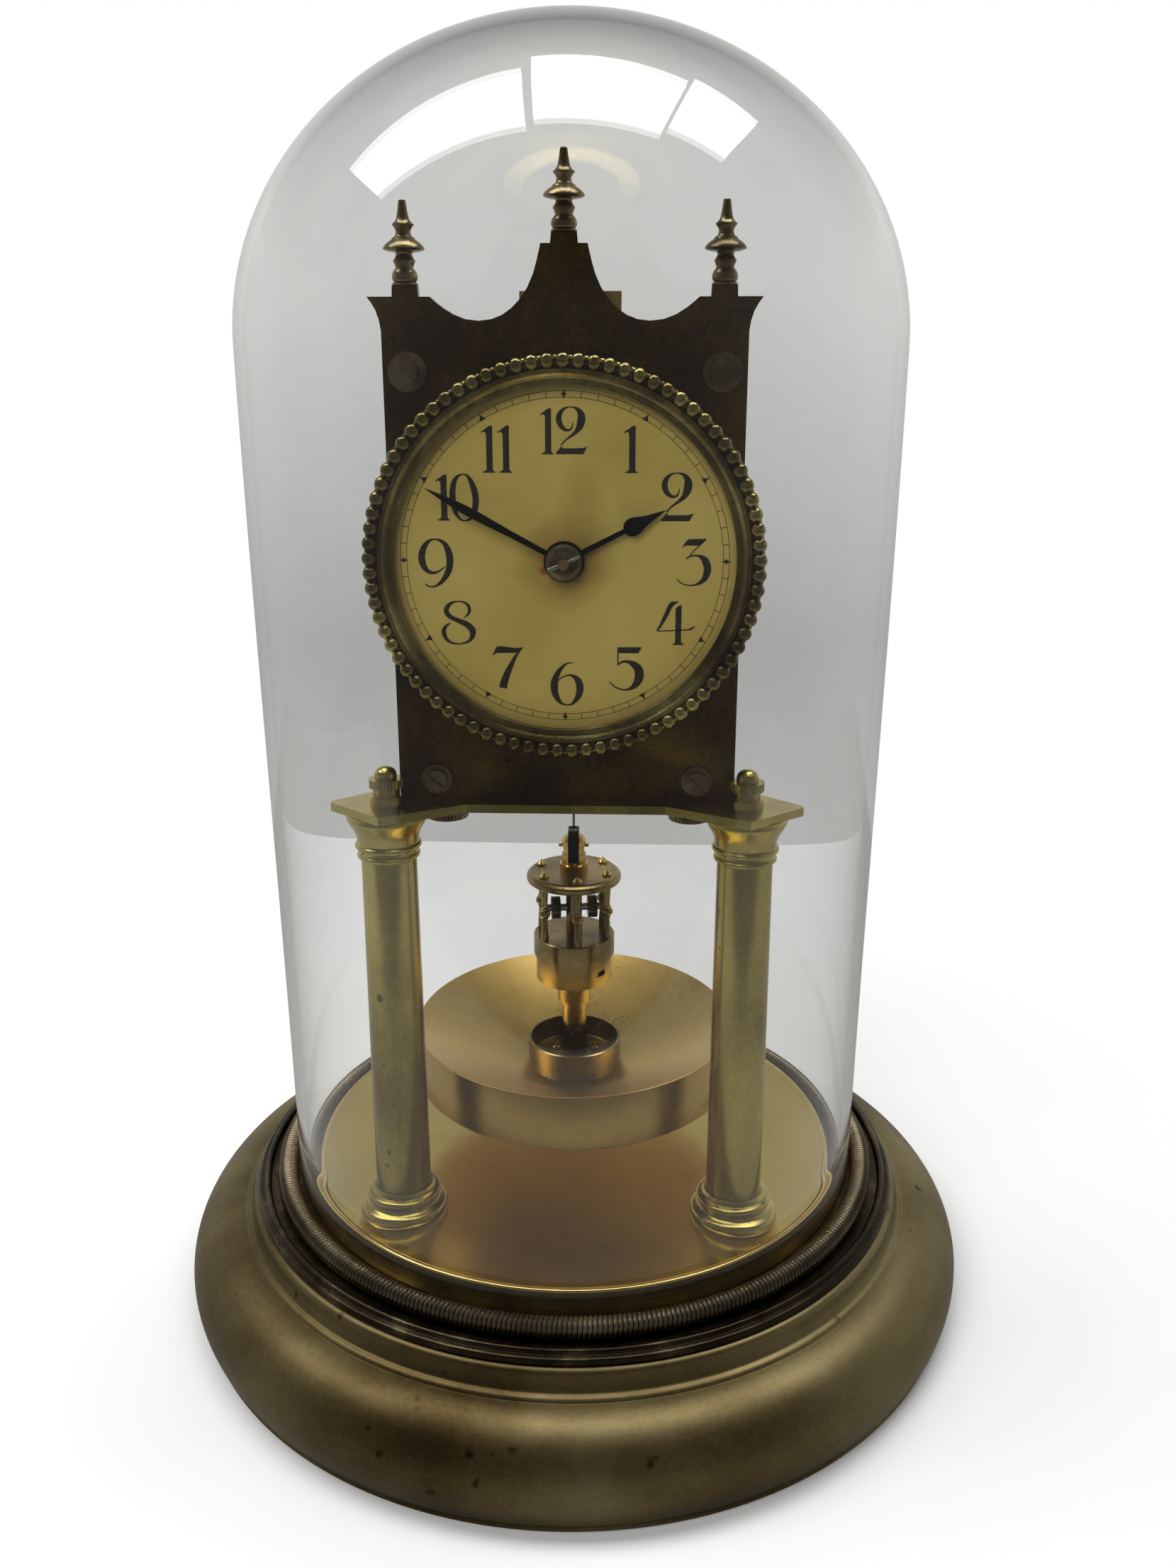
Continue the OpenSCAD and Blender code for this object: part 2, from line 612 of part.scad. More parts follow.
module first_wheel() color("#b8964a") wheel_and_pinion(first_at, first_wheel_y, slow_n, slow_m,
    first_turn, first_pinion_y, small_n, great_m, 0);
module second_wheel() color("#b8964a") wheel_and_pinion(second_at, second_wheel_y, slow_n, slow_m,
    second_turn, second_pinion_y, small_n, slow_m, 0);
module third_wheel() color("#b8964a") wheel_and_pinion(third_at, third_wheel_y, third_n, fast_m,
    0, third_pinion_y, pinion_n, fast_m, third_pinion_turn);

// The centre arbor runs through the dial and carries the minute hand.
module centre_wheel() color("#b8964a") {
    difference() {
        bar_y(arbor_r, pin_y - 1.2, back_inner_y - 0.3, centre_at);
        pin_shape();
    }
    bar_y(pivot_r, back_inner_y - 0.4, back_face_y - 0.2, centre_at);
    slab(centre_wheel_y[0], centre_wheel_y[1], centre_at) crossed(fast_m * centre_n / 2 - 2.2, 2.8, 5, 1.4)
        gear(centre_n, fast_m);
    slab(centre_pinion_y[0], centre_pinion_y[1], centre_at) gear(small_n, slow_m);
}

escape_r = 8.6;
module escape_wheel() color("#b8964a") {
    arbor(escape_at);
    slab(escape_wheel_y[0], escape_wheel_y[1], escape_at) crossed(6, 2.4, 4, 1.2)
        polygon([for (i = [0:escape_n - 1], k = [0:2]) let(a = (i + [0, 0.12, 0.45][k]) * 360 / escape_n,
            r = [escape_r, escape_r, escape_r - 1.5][k]) [r * cos(a), r * sin(a)]]);
    slab(escape_pinion_y[0], escape_pinion_y[1], escape_at) gear(pinion_n, fast_m, escape_pinion_turn);
}

// The anchor: two pallets spanning the escape wheel, and the pin that the fork drives.
pallet_gap = 0.9;
module anchor() color("#8d8f92") {
    arbor(anchor_at);
    slab(escape_wheel_y[0] - 0.2, escape_wheel_y[1] + 0.2, anchor_at) difference() {
        union() {
            circle(r = 2.2);
            for (s = [-1, 1]) {
                hull() {
                    circle(r = 1.2);
                    translate([s * 6.6, -3]) circle(r = 0.9);
                }
                hull() {
                    translate([s * 6.6, -3]) circle(r = 0.9);
                    translate([s * 7.3, -5.2]) circle(r = 0.5);
                }
            }
        }
        translate([0, escape_at[1] - anchor_at[1]]) circle(r = escape_r + pallet_gap);
    }
    translate([anchor_at[0], anchor_pin_y, anchor_at[1]]) cylinder(r = 0.5, h = fork_z + 2.5 - anchor_at[1]);
}

// --- fork and suspension ---------------------------------------------------------------------
slot_half = 0.85;
module fork() color("#a08a4c") translate([0, 0, fork_z - 0.6]) linear_extrude(1.2) difference() {
    union() {
        circle(r = 2.2);
        translate([-1.5, -fork_reach + 1.4]) square([3, fork_reach - 2]);
        translate([-2, -fork_reach - 1.6]) square([4, 5]);
    }
    circle(r = 0.75);
    translate([-slot_half, -fork_reach - 2]) square([2 * slot_half, 3.4]);
}

bracket_y = back_face_y + 1.6;
module suspension_bracket() color("#b39650") {
    slab(back_face_y, bracket_y) difference() {
        translate([-11, 212]) square([22, shelf_top_z - 212]);
        translate([-6.5, 231]) square([13, 10.5]);
        for (p = bracket_screw_at) translate(p) circle(r = 1.1);
    }
    difference() {
        translate([-11, back_face_y, shelf_top_z - 2.2]) cube([22, 12.5, 2.2]);
        translate([-1.6, -1.7, shelf_top_z - 4]) cube([3.2, 8, 6]);
        translate([-4.4, -0.55, shelf_top_z - 0.6]) cube([8.8, 1.1, 2]);
    }
}

module top_block() color("#a08a4c") {
    difference() {
        translate([-1.5, -1.4, 240.2]) cube([3, 2.8, shelf_top_z - 240.4]);
        translate([-0.35, -0.1, 239]) cube([0.7, 0.2, spring_top_z - 239]);
    }
    translate([-4.1, 0, shelf_top_z - 0.05]) rotate([0, 90, 0]) cylinder(r = 0.5, h = 8.2, $fn = 24);
}

module suspension_spring() color("#9aa3ab")
    translate([-0.3, -0.06, spring_bottom_z]) cube([0.6, 0.12, spring_top_z - 0.2 - spring_bottom_z]);

block_top = 121;
module bottom_block() color("#2c2b2a") difference() {
    translate([-1.3, 0, 0]) rotate([90, 0, 90]) linear_extrude(2.6) difference() {
        union() {
            translate([-2.6, head_z + 2.8]) square([5.2, block_top - 2.6 - head_z - 2.8]);
            translate([0, block_top - 2.6]) circle(r = 2.6);
        }
        translate([0, pin_z]) circle(r = 0.65);
    }
    translate([0, 0, spring_bottom_z - 0.6]) cylinder(r = 0.75, h = 5);
}

// --- pendulum ------------------------------------------------------------------------------------
module pendulum_disc() color("#7d6a48") difference() {
    turned([[0, disc_z], [disc_r - 0.4, disc_z], [disc_r, disc_z + 0.4], [disc_r, disc_top - 0.3],
        [disc_r - 0.4, disc_top], [hub_r, hub_bottom], [0, hub_bottom]]);
    for (a = hub_screw_angles) rotate(a) translate([7.6, 0, disc_z - 1]) cylinder(r = 0.85, h = 4);
}
hub_wall = 0.7;
hub_floor = 1.3;
module pendulum_hub() color("#7d6a48") difference() {
    turned([[0, hub_bottom], [hub_r, hub_bottom], [hub_r, hub_top - 0.2], [hub_r - 0.3, hub_top],
        [hub_r - hub_wall, hub_top], [hub_r - hub_wall, hub_bottom + hub_floor],
        [0, hub_bottom + hub_floor]]);
    for (a = hub_screw_angles) rotate(a) translate([7.6, 0, hub_bottom - 1]) cylinder(r = 0.95, h = 4);
}

module pendulum_tube() color("#86754c") turned([
    [1.6, hub_bottom + hub_floor], [3.15, hub_bottom + hub_floor], [3.15, 73.8], [3.6, 74.1], [4.1, 74.1],
    [4.2, 74.6], [4.2, tube_top], [1.6, tube_top]]);

module gallery_drum() color("#9c8550") difference() {
    turned([[0, tube_top], [drum_low_r, tube_top], [drum_low_r, drum_step_z], [drum_r, drum_step_z + 0.2],
        [drum_r, drum_top - 0.3], [drum_r - 0.3, drum_top], [spindle_post_r, drum_top],
        [spindle_post_r, gallery_z], [0, gallery_z],
        [0, drum_top - 1.4], [drum_low_r - 1.4, drum_top - 1.4], [drum_low_r - 1.4, tube_top + 1.6],
        [0, tube_top + 1.6]]);
    rotate(spindle_turn) translate([-5, 0, spindle_z]) rotate([0, 90, 0])
        cylinder(r = spindle_r + running, h = 10);
    rotate(-42) translate([drum_low_r - 1, -1.3, 83.6]) cube([3, 2.6, 1.5]);
    for (i = [0:5]) rotate(post_turn + 60 * i) translate([post_ring, 0, drum_top - 2])
        cylinder(r = 0.55, h = 3);
}

ball_z = (drum_top + gallery_z) / 2;
module gallery_posts() color("#a8904f") for (i = [0:5]) rotate(post_turn + 60 * i) turned([
    [0, drum_top - 1.2], [0.5, drum_top - 1.2], [0.5, drum_top], [0.95, drum_top], [1, drum_top + 0.6],
    [0.75, ball_z - 1.6], [0.9, ball_z - 1.4], [1.25, ball_z - 0.9], [1.5, ball_z], [1.25, ball_z + 0.9],
    [0.9, ball_z + 1.4], [0.75, ball_z + 1.6], [1, gallery_z - 0.6], [0.95, gallery_z],
    [0.5, gallery_z], [0.5, gallery_z + gallery_t], [0, gallery_z + gallery_t]], post_ring, 0);

module gallery_top() color("#a08a52") difference() {
    turned([[0, gallery_z], [gallery_r - 0.4, gallery_z], [gallery_r, gallery_z + 0.5],
        [gallery_r, gallery_z + 1.4], [gallery_r - 0.5, gallery_z + 1.8],
        [gallery_r - 1, gallery_z + gallery_t], [0, gallery_z + gallery_t]]);
    for (i = [0:5]) rotate(post_turn + 60 * i) translate([post_ring, 0, gallery_z - 1])
        cylinder(r = 0.55, h = 5);
}

// Screws of the hub and the small cone nuts on top of the posts.
module pendulum_screws() color("#c09a3e") {
    for (a = hub_screw_angles) rotate(a) translate([7.6, 0, 0]) {
        translate([0, 0, disc_z + 0.2]) cylinder(r = 0.8, h = 3);
        translate([0, 0, hub_bottom + hub_floor]) cylinder(r1 = 1.3, r2 = 1, h = 0.7);
    }
    for (i = [0:5]) rotate(post_turn + 60 * i) turned([[0, head_z], [1.2, head_z], [1.2, head_z + 0.35],
        [0.3, head_z + 1.3], [0, head_z + 1.4]], post_ring, 0);
}

module pendulum_head() color("#b3923f") {
    difference() {
        turned([[0, head_z], [3.5, head_z], [3.5, head_z + 1.9], [head_r, head_z + 2.1], [head_r, 114.2],
            [head_r - 0.4, 114.3], [head_r - 0.4, 116], [head_r, 116.1], [head_r, 117.6], [2.3, 118.7],
            [0, 119]]);
        translate([-1.35, -5, head_z + 2.75]) cube([2.7, 10, 10]);
        translate([-5, 0, pin_z]) rotate([0, 90, 0]) cylinder(r = 0.55, h = 10);
    }
    translate([-3.7, 0, pin_z]) rotate([0, 90, 0]) cylinder(r = 0.55, h = 7.4, $fn = 24);
}

module regulating_spindle() color("#8d8f92") rotate(spindle_turn)
    translate([-7.4, 0, spindle_z]) rotate([0, 90, 0]) cylinder(r = spindle_r, h = 14.8);

module regulating_weight(side) rotate(spindle_turn) translate([side * weight_at, 0, spindle_z])
    rotate([0, 90, 0]) difference() {
        translate([0, 0, -1.1]) knurled(2.8, 2.2, 24);
        translate([0, 0, -2]) cylinder(r = spindle_r + running, h = 4);
    }
module regulating_weight_left() color("#3a3020") regulating_weight(-1);
module regulating_weight_right() color("#3a3020") regulating_weight(1);

// --- output ------------------------------------------------------------------------------------------
base_shell();
base_board();
felt_pad();
seat_ring();
coil_ring();
floor_plate();
glass_dome();
column_feet();
columns();
column_capitals();
tie_rods();
column_nuts();
rod_end_nuts();
platform();
thumb_screws();
front_plate();
back_plate();
movement_pillars();
plate_screws();
plate_washers();
pediment();
finials();
dial_plate();
bezel();
hour_hand();
minute_hand();
hand_collet();
taper_pin();
cannon_pinion();
minute_wheel();
hour_wheel();
barrel();
mainspring();
winding_arbor();
ratchet_wheel();
click();
click_spring();
back_screws();
first_wheel();
second_wheel();
centre_wheel();
third_wheel();
escape_wheel();
anchor();
fork();
suspension_bracket();
top_block();
suspension_spring();
bottom_block();
pendulum_disc();
pendulum_hub();
pendulum_tube();
gallery_drum();
gallery_posts();
gallery_top();
pendulum_head();
regulating_spindle();
regulating_weight_left();
regulating_weight_right();
pendulum_screws();
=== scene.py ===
"""Looks of an anniversary clock under a glass dome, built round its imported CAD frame."""

import math

import bmesh
import bpy
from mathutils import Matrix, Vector


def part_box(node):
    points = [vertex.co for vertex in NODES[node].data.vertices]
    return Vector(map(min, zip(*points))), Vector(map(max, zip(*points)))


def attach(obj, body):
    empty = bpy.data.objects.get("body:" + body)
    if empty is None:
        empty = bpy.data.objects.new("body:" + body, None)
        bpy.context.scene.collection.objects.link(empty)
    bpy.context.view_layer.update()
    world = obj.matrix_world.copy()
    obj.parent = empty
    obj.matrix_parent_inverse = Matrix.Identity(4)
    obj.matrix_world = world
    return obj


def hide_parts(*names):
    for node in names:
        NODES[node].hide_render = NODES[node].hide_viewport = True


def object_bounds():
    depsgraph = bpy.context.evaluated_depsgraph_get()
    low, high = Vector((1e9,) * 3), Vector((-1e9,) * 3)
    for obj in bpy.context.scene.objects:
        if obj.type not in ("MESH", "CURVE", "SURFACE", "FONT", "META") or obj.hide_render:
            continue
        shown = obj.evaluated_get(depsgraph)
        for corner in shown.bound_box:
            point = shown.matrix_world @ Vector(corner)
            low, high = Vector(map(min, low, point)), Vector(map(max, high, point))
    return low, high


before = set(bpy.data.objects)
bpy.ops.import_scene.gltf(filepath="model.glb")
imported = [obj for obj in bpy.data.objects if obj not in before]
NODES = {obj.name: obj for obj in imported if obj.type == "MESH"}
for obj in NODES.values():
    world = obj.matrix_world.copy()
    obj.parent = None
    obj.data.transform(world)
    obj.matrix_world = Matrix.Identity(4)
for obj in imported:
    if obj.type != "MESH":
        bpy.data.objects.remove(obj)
cad_low, cad_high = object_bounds()

MM = 0.001


# --- places, read from the frame (millimetres) --------------------------------------------
def low(node):
    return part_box(node)[0] / MM


def high(node):
    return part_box(node)[1] / MM


dial_low, dial_high = low("dial_plate"), high("dial_plate")
DIAL_Z = (dial_low.z + dial_high.z) / 2
DIAL_Y = dial_low.y
BEZEL_R = (high("bezel").x - low("bezel").x) / 2
PLATE_FRONT = -low("front_plate").y
FLOOR_Z = high("floor_plate").z
SHAFT_FOOT_R, SHAFT_TOP_R = 6.35, 6.0
COLUMN_X = high("columns").x - SHAFT_FOOT_R
COLUMN_Y = (low("columns").y + high("columns").y) / 2


# --- node helpers -------------------------------------------------------------------------
class Nodes:
    """A material's node tree with short calls for its nodes."""

    def __init__(self, name):
        self.material = bpy.data.materials.new(name)
        self.material.use_nodes = True
        self.tree = self.material.node_tree
        self.tree.nodes.clear()
        self.out = self.add("ShaderNodeOutputMaterial")
        self.shader = self.add("ShaderNodeBsdfPrincipled")
        self.link(self.shader.outputs[0], self.out.inputs["Surface"])
        self.place = self.add("ShaderNodeTexCoord").outputs["Object"]

    def add(self, kind, **values):
        n = self.tree.nodes.new(kind)
        for key, value in values.items():
            setattr(n, key, value)
        return n

    def link(self, a, b):
        self.tree.links.new(a, b)

    def put(self, socket, value):
        if isinstance(value, bpy.types.NodeSocket):
            self.link(value, socket)
        else:
            socket.default_value = value

    def math(self, op, a, b=0.0, c=0.0, clamp=False):
        n = self.add("ShaderNodeMath", operation=op, use_clamp=clamp)
        for socket, value in zip(n.inputs, (a, b, c)):
            self.put(socket, value)
        return n.outputs[0]

    def noise(self, scale, where=None, detail=4.0, rough=0.55, distort=0.0):
        n = self.add("ShaderNodeTexNoise")
        self.link(where or self.place, n.inputs["Vector"])
        n.inputs["Scale"].default_value = scale
        n.inputs["Detail"].default_value = detail
        n.inputs["Roughness"].default_value = rough
        n.inputs["Distortion"].default_value = distort
        return n.outputs["Fac"]

    def stretch(self, scale, where=None):
        n = self.add("ShaderNodeMapping")
        self.link(where or self.place, n.inputs["Vector"])
        n.inputs["Scale"].default_value = scale
        return n.outputs[0]

    def turned(self, around=0.06):
        """Coordinates that run round the vertical axis, for marks left by turning."""
        sep = self.add("ShaderNodeSeparateXYZ")
        self.link(self.place, sep.inputs[0])
        x, y, z = sep.outputs
        r = self.math("SQRT", self.math("ADD", self.math("MULTIPLY", x, x), self.math("MULTIPLY", y, y)))
        join = self.add("ShaderNodeCombineXYZ")
        self.put(join.inputs[0], self.math("MULTIPLY_ADD", x, around, r))
        self.put(join.inputs[1], self.math("MULTIPLY", y, around))
        self.put(join.inputs[2], z)
        return join.outputs[0]

    def ramp(self, value, stops):
        n = self.add("ShaderNodeValToRGB")
        self.link(value, n.inputs[0])
        cells = n.color_ramp.elements
        while len(cells) < len(stops):
            cells.new(0.5)
        for cell, (at, colour) in zip(cells, stops):
            cell.position = at
            cell.color = (*colour, 1) if len(colour) == 3 else colour
        return n.outputs[0]

    def span(self, value, a, b, c, d):
        n = self.add("ShaderNodeMapRange", clamp=True)
        self.put(n.inputs[0], value)
        for socket, v in zip(n.inputs[1:5], (a, b, c, d)):
            socket.default_value = v
        return n.outputs[0]

    def mix(self, factor, a, b, blend="MIX"):
        n = self.add("ShaderNodeMix", data_type="RGBA", blend_type=blend)
        self.put(n.inputs[0], factor)
        self.put(n.inputs[6], a if isinstance(a, bpy.types.NodeSocket) else (*a, 1))
        self.put(n.inputs[7], b if isinstance(b, bpy.types.NodeSocket) else (*b, 1))
        return n.outputs[2]

    def bump(self, height, strength, distance=0.0002):
        n = self.add("ShaderNodeBump")
        n.inputs["Strength"].default_value = strength
        n.inputs["Distance"].default_value = distance
        self.link(height, n.inputs["Height"])
        self.link(n.outputs[0], self.shader.inputs["Normal"])


FINE_GRAIN, GRAIN_BUMP = 900, 0.04


def metal(name, stops, rough=(0.22, 0.42), patch=45, marks=0.0, speck=None, streak=0.0):
    """Aged metal: patches of patina, fine grain, and optional turning marks, drips and dark specks."""
    n = Nodes(name)
    blotch = n.noise(patch, detail=4.0, rough=0.5, distort=0.3)
    fine = n.noise(FINE_GRAIN, detail=3.0)
    value = n.math("MULTIPLY_ADD", n.math("SUBTRACT", fine, 0.5), 0.18, blotch)
    height = fine
    if marks:
        lines = n.noise(2600, where=n.turned(), detail=2.0)
        value = n.math("MULTIPLY_ADD", n.math("SUBTRACT", lines, 0.5), marks, value)
        height = n.math("ADD", height, lines)
    if streak:
        drips = n.noise(70, where=n.stretch((1, 1, 0.12)), detail=4.0)
        value = n.math("MULTIPLY_ADD", n.math("SUBTRACT", drips, 0.5), streak * 2, value)
    colour = n.ramp(value, stops)
    if speck:
        spots = n.span(n.noise(speck, detail=2.0, rough=0.5), 0.70, 0.76, 0.0, 0.8)
        colour = n.mix(spots, colour, (0.02, 0.014, 0.006))
    n.put(n.shader.inputs["Base Color"], colour)
    n.shader.inputs["Metallic"].default_value = 1.0
    cloud = n.noise(patch * 2.3, detail=2.0)
    n.put(n.shader.inputs["Roughness"], n.span(n.math("MULTIPLY_ADD", fine, 0.3, cloud), 0.35, 0.95, *rough))
    n.bump(height, GRAIN_BUMP, 0.0001)
    return n.material


# --- materials ----------------------------------------------------------------------------
base_metal = metal("base bronze", [(0.28, (0.070, 0.048, 0.018)), (0.45, (0.135, 0.100, 0.042)),
                                   (0.60, (0.21, 0.165, 0.075)), (0.80, (0.30, 0.245, 0.125))],
                   rough=(0.40, 0.52), patch=20, marks=0.07, speck=150)
seat_metal = metal("dark seat", [(0.3, (0.016, 0.012, 0.008)), (0.55, (0.05, 0.038, 0.022)),
                                 (0.78, (0.19, 0.145, 0.075))], rough=(0.28, 0.44), patch=60, marks=0.3)
coil_metal = metal("coil wire", [(0.3, (0.09, 0.07, 0.045)), (0.55, (0.19, 0.155, 0.10)),
                                 (0.8, (0.34, 0.29, 0.19))], rough=(0.3, 0.45), patch=40)
floor_metal = metal("floor brass", [(0.25, (0.62, 0.46, 0.12)), (0.5, (0.82, 0.64, 0.20)),
                                    (0.75, (0.90, 0.73, 0.28))], rough=(0.16, 0.26), patch=12, marks=0.06)
edge_gold = metal("gilt edge", [(0.3, (0.75, 0.52, 0.16)), (0.7, (0.92, 0.68, 0.26))],
                  rough=(0.16, 0.26), patch=60)
column_metal = metal("column brass", [(0.28, (0.17, 0.125, 0.028)), (0.45, (0.37, 0.295, 0.075)),
                                      (0.6, (0.52, 0.425, 0.12)), (0.78, (0.66, 0.55, 0.19))],
                     rough=(0.17, 0.28), patch=16, speck=230, streak=0.25)
plate_metal = metal("stained plate", [(0.28, (0.018, 0.009, 0.0010)), (0.45, (0.066, 0.036, 0.0042)),
                                      (0.6, (0.155, 0.090, 0.010)), (0.78, (0.32, 0.19, 0.025))],
                    rough=(0.22, 0.36), patch=36, speck=120)
screw_metal = metal("dark screw", [(0.3, (0.12, 0.086, 0.046)), (0.7, (0.36, 0.285, 0.165))],
                    rough=(0.2, 0.34), patch=150)
bezel_metal = metal("bezel brass", [(0.3, (0.075, 0.052, 0.014)), (0.5, (0.22, 0.17, 0.055)),
                                    (0.72, (0.55, 0.47, 0.18))], rough=(0.15, 0.28), patch=55)
finial_metal = metal("finial brass", [(0.3, (0.07, 0.052, 0.026)), (0.7, (0.30, 0.235, 0.12))],
                     rough=(0.2, 0.34), patch=90)
disc_metal = metal("disc brass", [(0.3, (0.40, 0.255, 0.068)), (0.5, (0.54, 0.365, 0.11)),
                                  (0.72, (0.64, 0.47, 0.17))], rough=(0.24, 0.34), patch=14, marks=0.08)
gallery_metal = metal("gallery brass", [(0.3, (0.17, 0.12, 0.045)), (0.7, (0.42, 0.315, 0.13))],
                      rough=(0.18, 0.3), patch=80, marks=0.1)
gilt_metal = metal("gilt", [(0.3, (0.48, 0.32, 0.09)), (0.7, (0.74, 0.53, 0.19))],
                   rough=(0.14, 0.24), patch=120)
wheel_metal = metal("wheel brass", [(0.3, (0.40, 0.30, 0.13)), (0.7, (0.64, 0.50, 0.25))],
                    rough=(0.22, 0.34), patch=90)
steel = metal("steel", [(0.3, (0.30, 0.30, 0.29)), (0.7, (0.52, 0.52, 0.50))], rough=(0.2, 0.34), patch=90)
black_steel = metal("blackened steel", [(0.3, (0.012, 0.012, 0.014)), (0.7, (0.04, 0.038, 0.04))],
                    rough=(0.24, 0.4), patch=160)
weight_metal = metal("dark weight", [(0.3, (0.05, 0.04, 0.02)), (0.7, (0.16, 0.12, 0.06))],
                     rough=(0.25, 0.4), patch=200)


def paint_ink():
    """Printed black, faintly worn."""
    n = Nodes("dial ink")
    n.put(n.shader.inputs["Base Color"], n.ramp(n.noise(1500), [(0.35, (0.008, 0.007, 0.006)),
                                                               (0.75, (0.030, 0.024, 0.016))]))
    n.shader.inputs["Roughness"].default_value = 0.45
    return n.material


def paint_dial():
    """Aged cream dial with a brown stain round the arbor, a rusty chip beside it, and painted shade in a ring
    at its rim under the bezel.
    """
    n = Nodes("dial paint")
    centre = Vector((0, DIAL_Y, DIAL_Z)) * MM
    offset = n.add("ShaderNodeVectorMath", operation="SUBTRACT")
    n.link(n.place, offset.inputs[0])
    offset.inputs[1].default_value = centre
    sep = n.add("ShaderNodeSeparateXYZ")
    n.link(offset.outputs[0], sep.inputs[0])
    x, _, z = sep.outputs

    def spot(at_x, at_z, stretch_x, stretch_z):
        dx = n.math("MULTIPLY", n.math("SUBTRACT", x, at_x * MM), 1 / (stretch_x * MM))
        dz = n.math("MULTIPLY", n.math("SUBTRACT", z, at_z * MM), 1 / (stretch_z * MM))
        return n.math("SQRT", n.math("ADD", n.math("MULTIPLY", dx, dx), n.math("MULTIPLY", dz, dz)))

    cloud = n.noise(120, detail=6.0, rough=0.6)
    wide = n.noise(28, detail=3.0)
    colour = n.ramp(n.math("MULTIPLY_ADD", n.noise(2200), 0.12, wide),
                    [(0.32, (0.36, 0.265, 0.055)), (0.55, (0.43, 0.32, 0.075)), (0.8, (0.50, 0.385, 0.11))])
    warp = n.math("MULTIPLY_ADD", cloud, 0.9, -0.45)
    ring = n.math("ADD", spot(0.6, -0.5, 9.5, 9.0), warp)
    colour = n.mix(n.span(ring, 0.25, 1.15, 0.9, 0.0), colour, (0.185, 0.10, 0.012))
    plume = n.math("ADD", spot(3.5, 9.0, 5.0, 14.0), warp)
    colour = n.mix(n.span(plume, 0.2, 1.1, 0.42, 0.0), colour, (0.25, 0.165, 0.03))
    # Painted shade: a ring darkening the dial towards its rim, just inside the bezel's lip.
    edge = n.math("ADD", spot(0, 0, 37.0, 37.0), n.math("MULTIPLY", warp, 0.06))
    colour = n.mix(n.span(edge, 0.90, 0.97, 0.0, 0.6), colour, (0.20, 0.14, 0.05))
    chip = n.math("ADD", spot(-4.1, -2.0, 1.0, 1.2), n.math("MULTIPLY", warp, 0.8))
    colour = n.mix(n.span(chip, 0.75, 0.95, 0.9, 0.0), colour, (0.20, 0.05, 0.012))
    n.put(n.shader.inputs["Base Color"], colour)
    n.put(n.shader.inputs["Roughness"], n.span(cloud, 0.3, 0.7, 0.34, 0.5))
    n.bump(n.noise(900), 0.05, 0.0001)
    return n.material


def paint_glass():
    """Old clear glass, faintly smoky, with light smudges; it lets light through to what it covers."""
    n = Nodes("dome glass")
    smudge = n.noise(34, detail=6.0, rough=0.65, distort=0.6)
    n.shader.inputs["Transmission Weight"].default_value = 1.0
    n.shader.inputs["IOR"].default_value = 1.45
    n.put(n.shader.inputs["Base Color"], n.ramp(smudge, [(0.35, (0.955, 0.96, 0.96)),
                                                         (0.75, (0.985, 0.987, 0.985))]))
    n.put(n.shader.inputs["Roughness"], n.span(smudge, 0.62, 0.8, 0.0, 0.012))
    clear = n.add("ShaderNodeBsdfTransparent")
    clear.inputs[0].default_value = (0.95, 0.955, 0.955, 1)
    path = n.add("ShaderNodeLightPath")
    both = n.add("ShaderNodeMixShader")
    through = n.math("MAXIMUM", path.outputs["Is Shadow Ray"], path.outputs["Is Diffuse Ray"])
    n.link(through, both.inputs[0])
    n.link(n.shader.outputs[0], both.inputs[1])
    n.link(clear.outputs[0], both.inputs[2])
    n.link(both.outputs[0], n.out.inputs["Surface"])
    return n.material


def paint_wood():
    """Dark wood with its grain along the width of the board."""
    n = Nodes("board wood")
    rings = n.noise(60, where=n.stretch((1, 9, 9)), detail=5.0, distort=1.2)
    n.put(n.shader.inputs["Base Color"], n.ramp(rings, [(0.3, (0.10, 0.05, 0.022)),
                                                        (0.7, (0.25, 0.14, 0.065))]))
    n.put(n.shader.inputs["Roughness"], n.span(rings, 0.3, 0.7, 0.5, 0.75))
    n.bump(rings, 0.2)
    return n.material


def paint_felt():
    """Green felt with short fibres."""
    n = Nodes("green felt")
    fibre = n.noise(1800, detail=6.0, rough=0.7)
    n.put(n.shader.inputs["Base Color"], n.ramp(fibre, [(0.3, (0.015, 0.05, 0.025)),
                                                        (0.7, (0.05, 0.13, 0.07))]))
    n.shader.inputs["Roughness"].default_value = 0.95
    n.bump(fibre, 0.6, 0.0004)
    return n.material


ink, dial_paint, dome_glass = paint_ink(), paint_dial(), paint_glass()
wood, felt = paint_wood(), paint_felt()


# --- mesh helpers (profiles and outlines in millimetres) ----------------------------------
def arc(cx, cz, rx, rz, a0, a1, n=10):
    """Points of an ellipse's arc about (cx, cz), from angle a0 to a1 in degrees."""
    return [(cx + rx * math.cos(math.radians(a0 + (a1 - a0) * i / n)),
             cz + rz * math.sin(math.radians(a0 + (a1 - a0) * i / n))) for i in range(n + 1)]


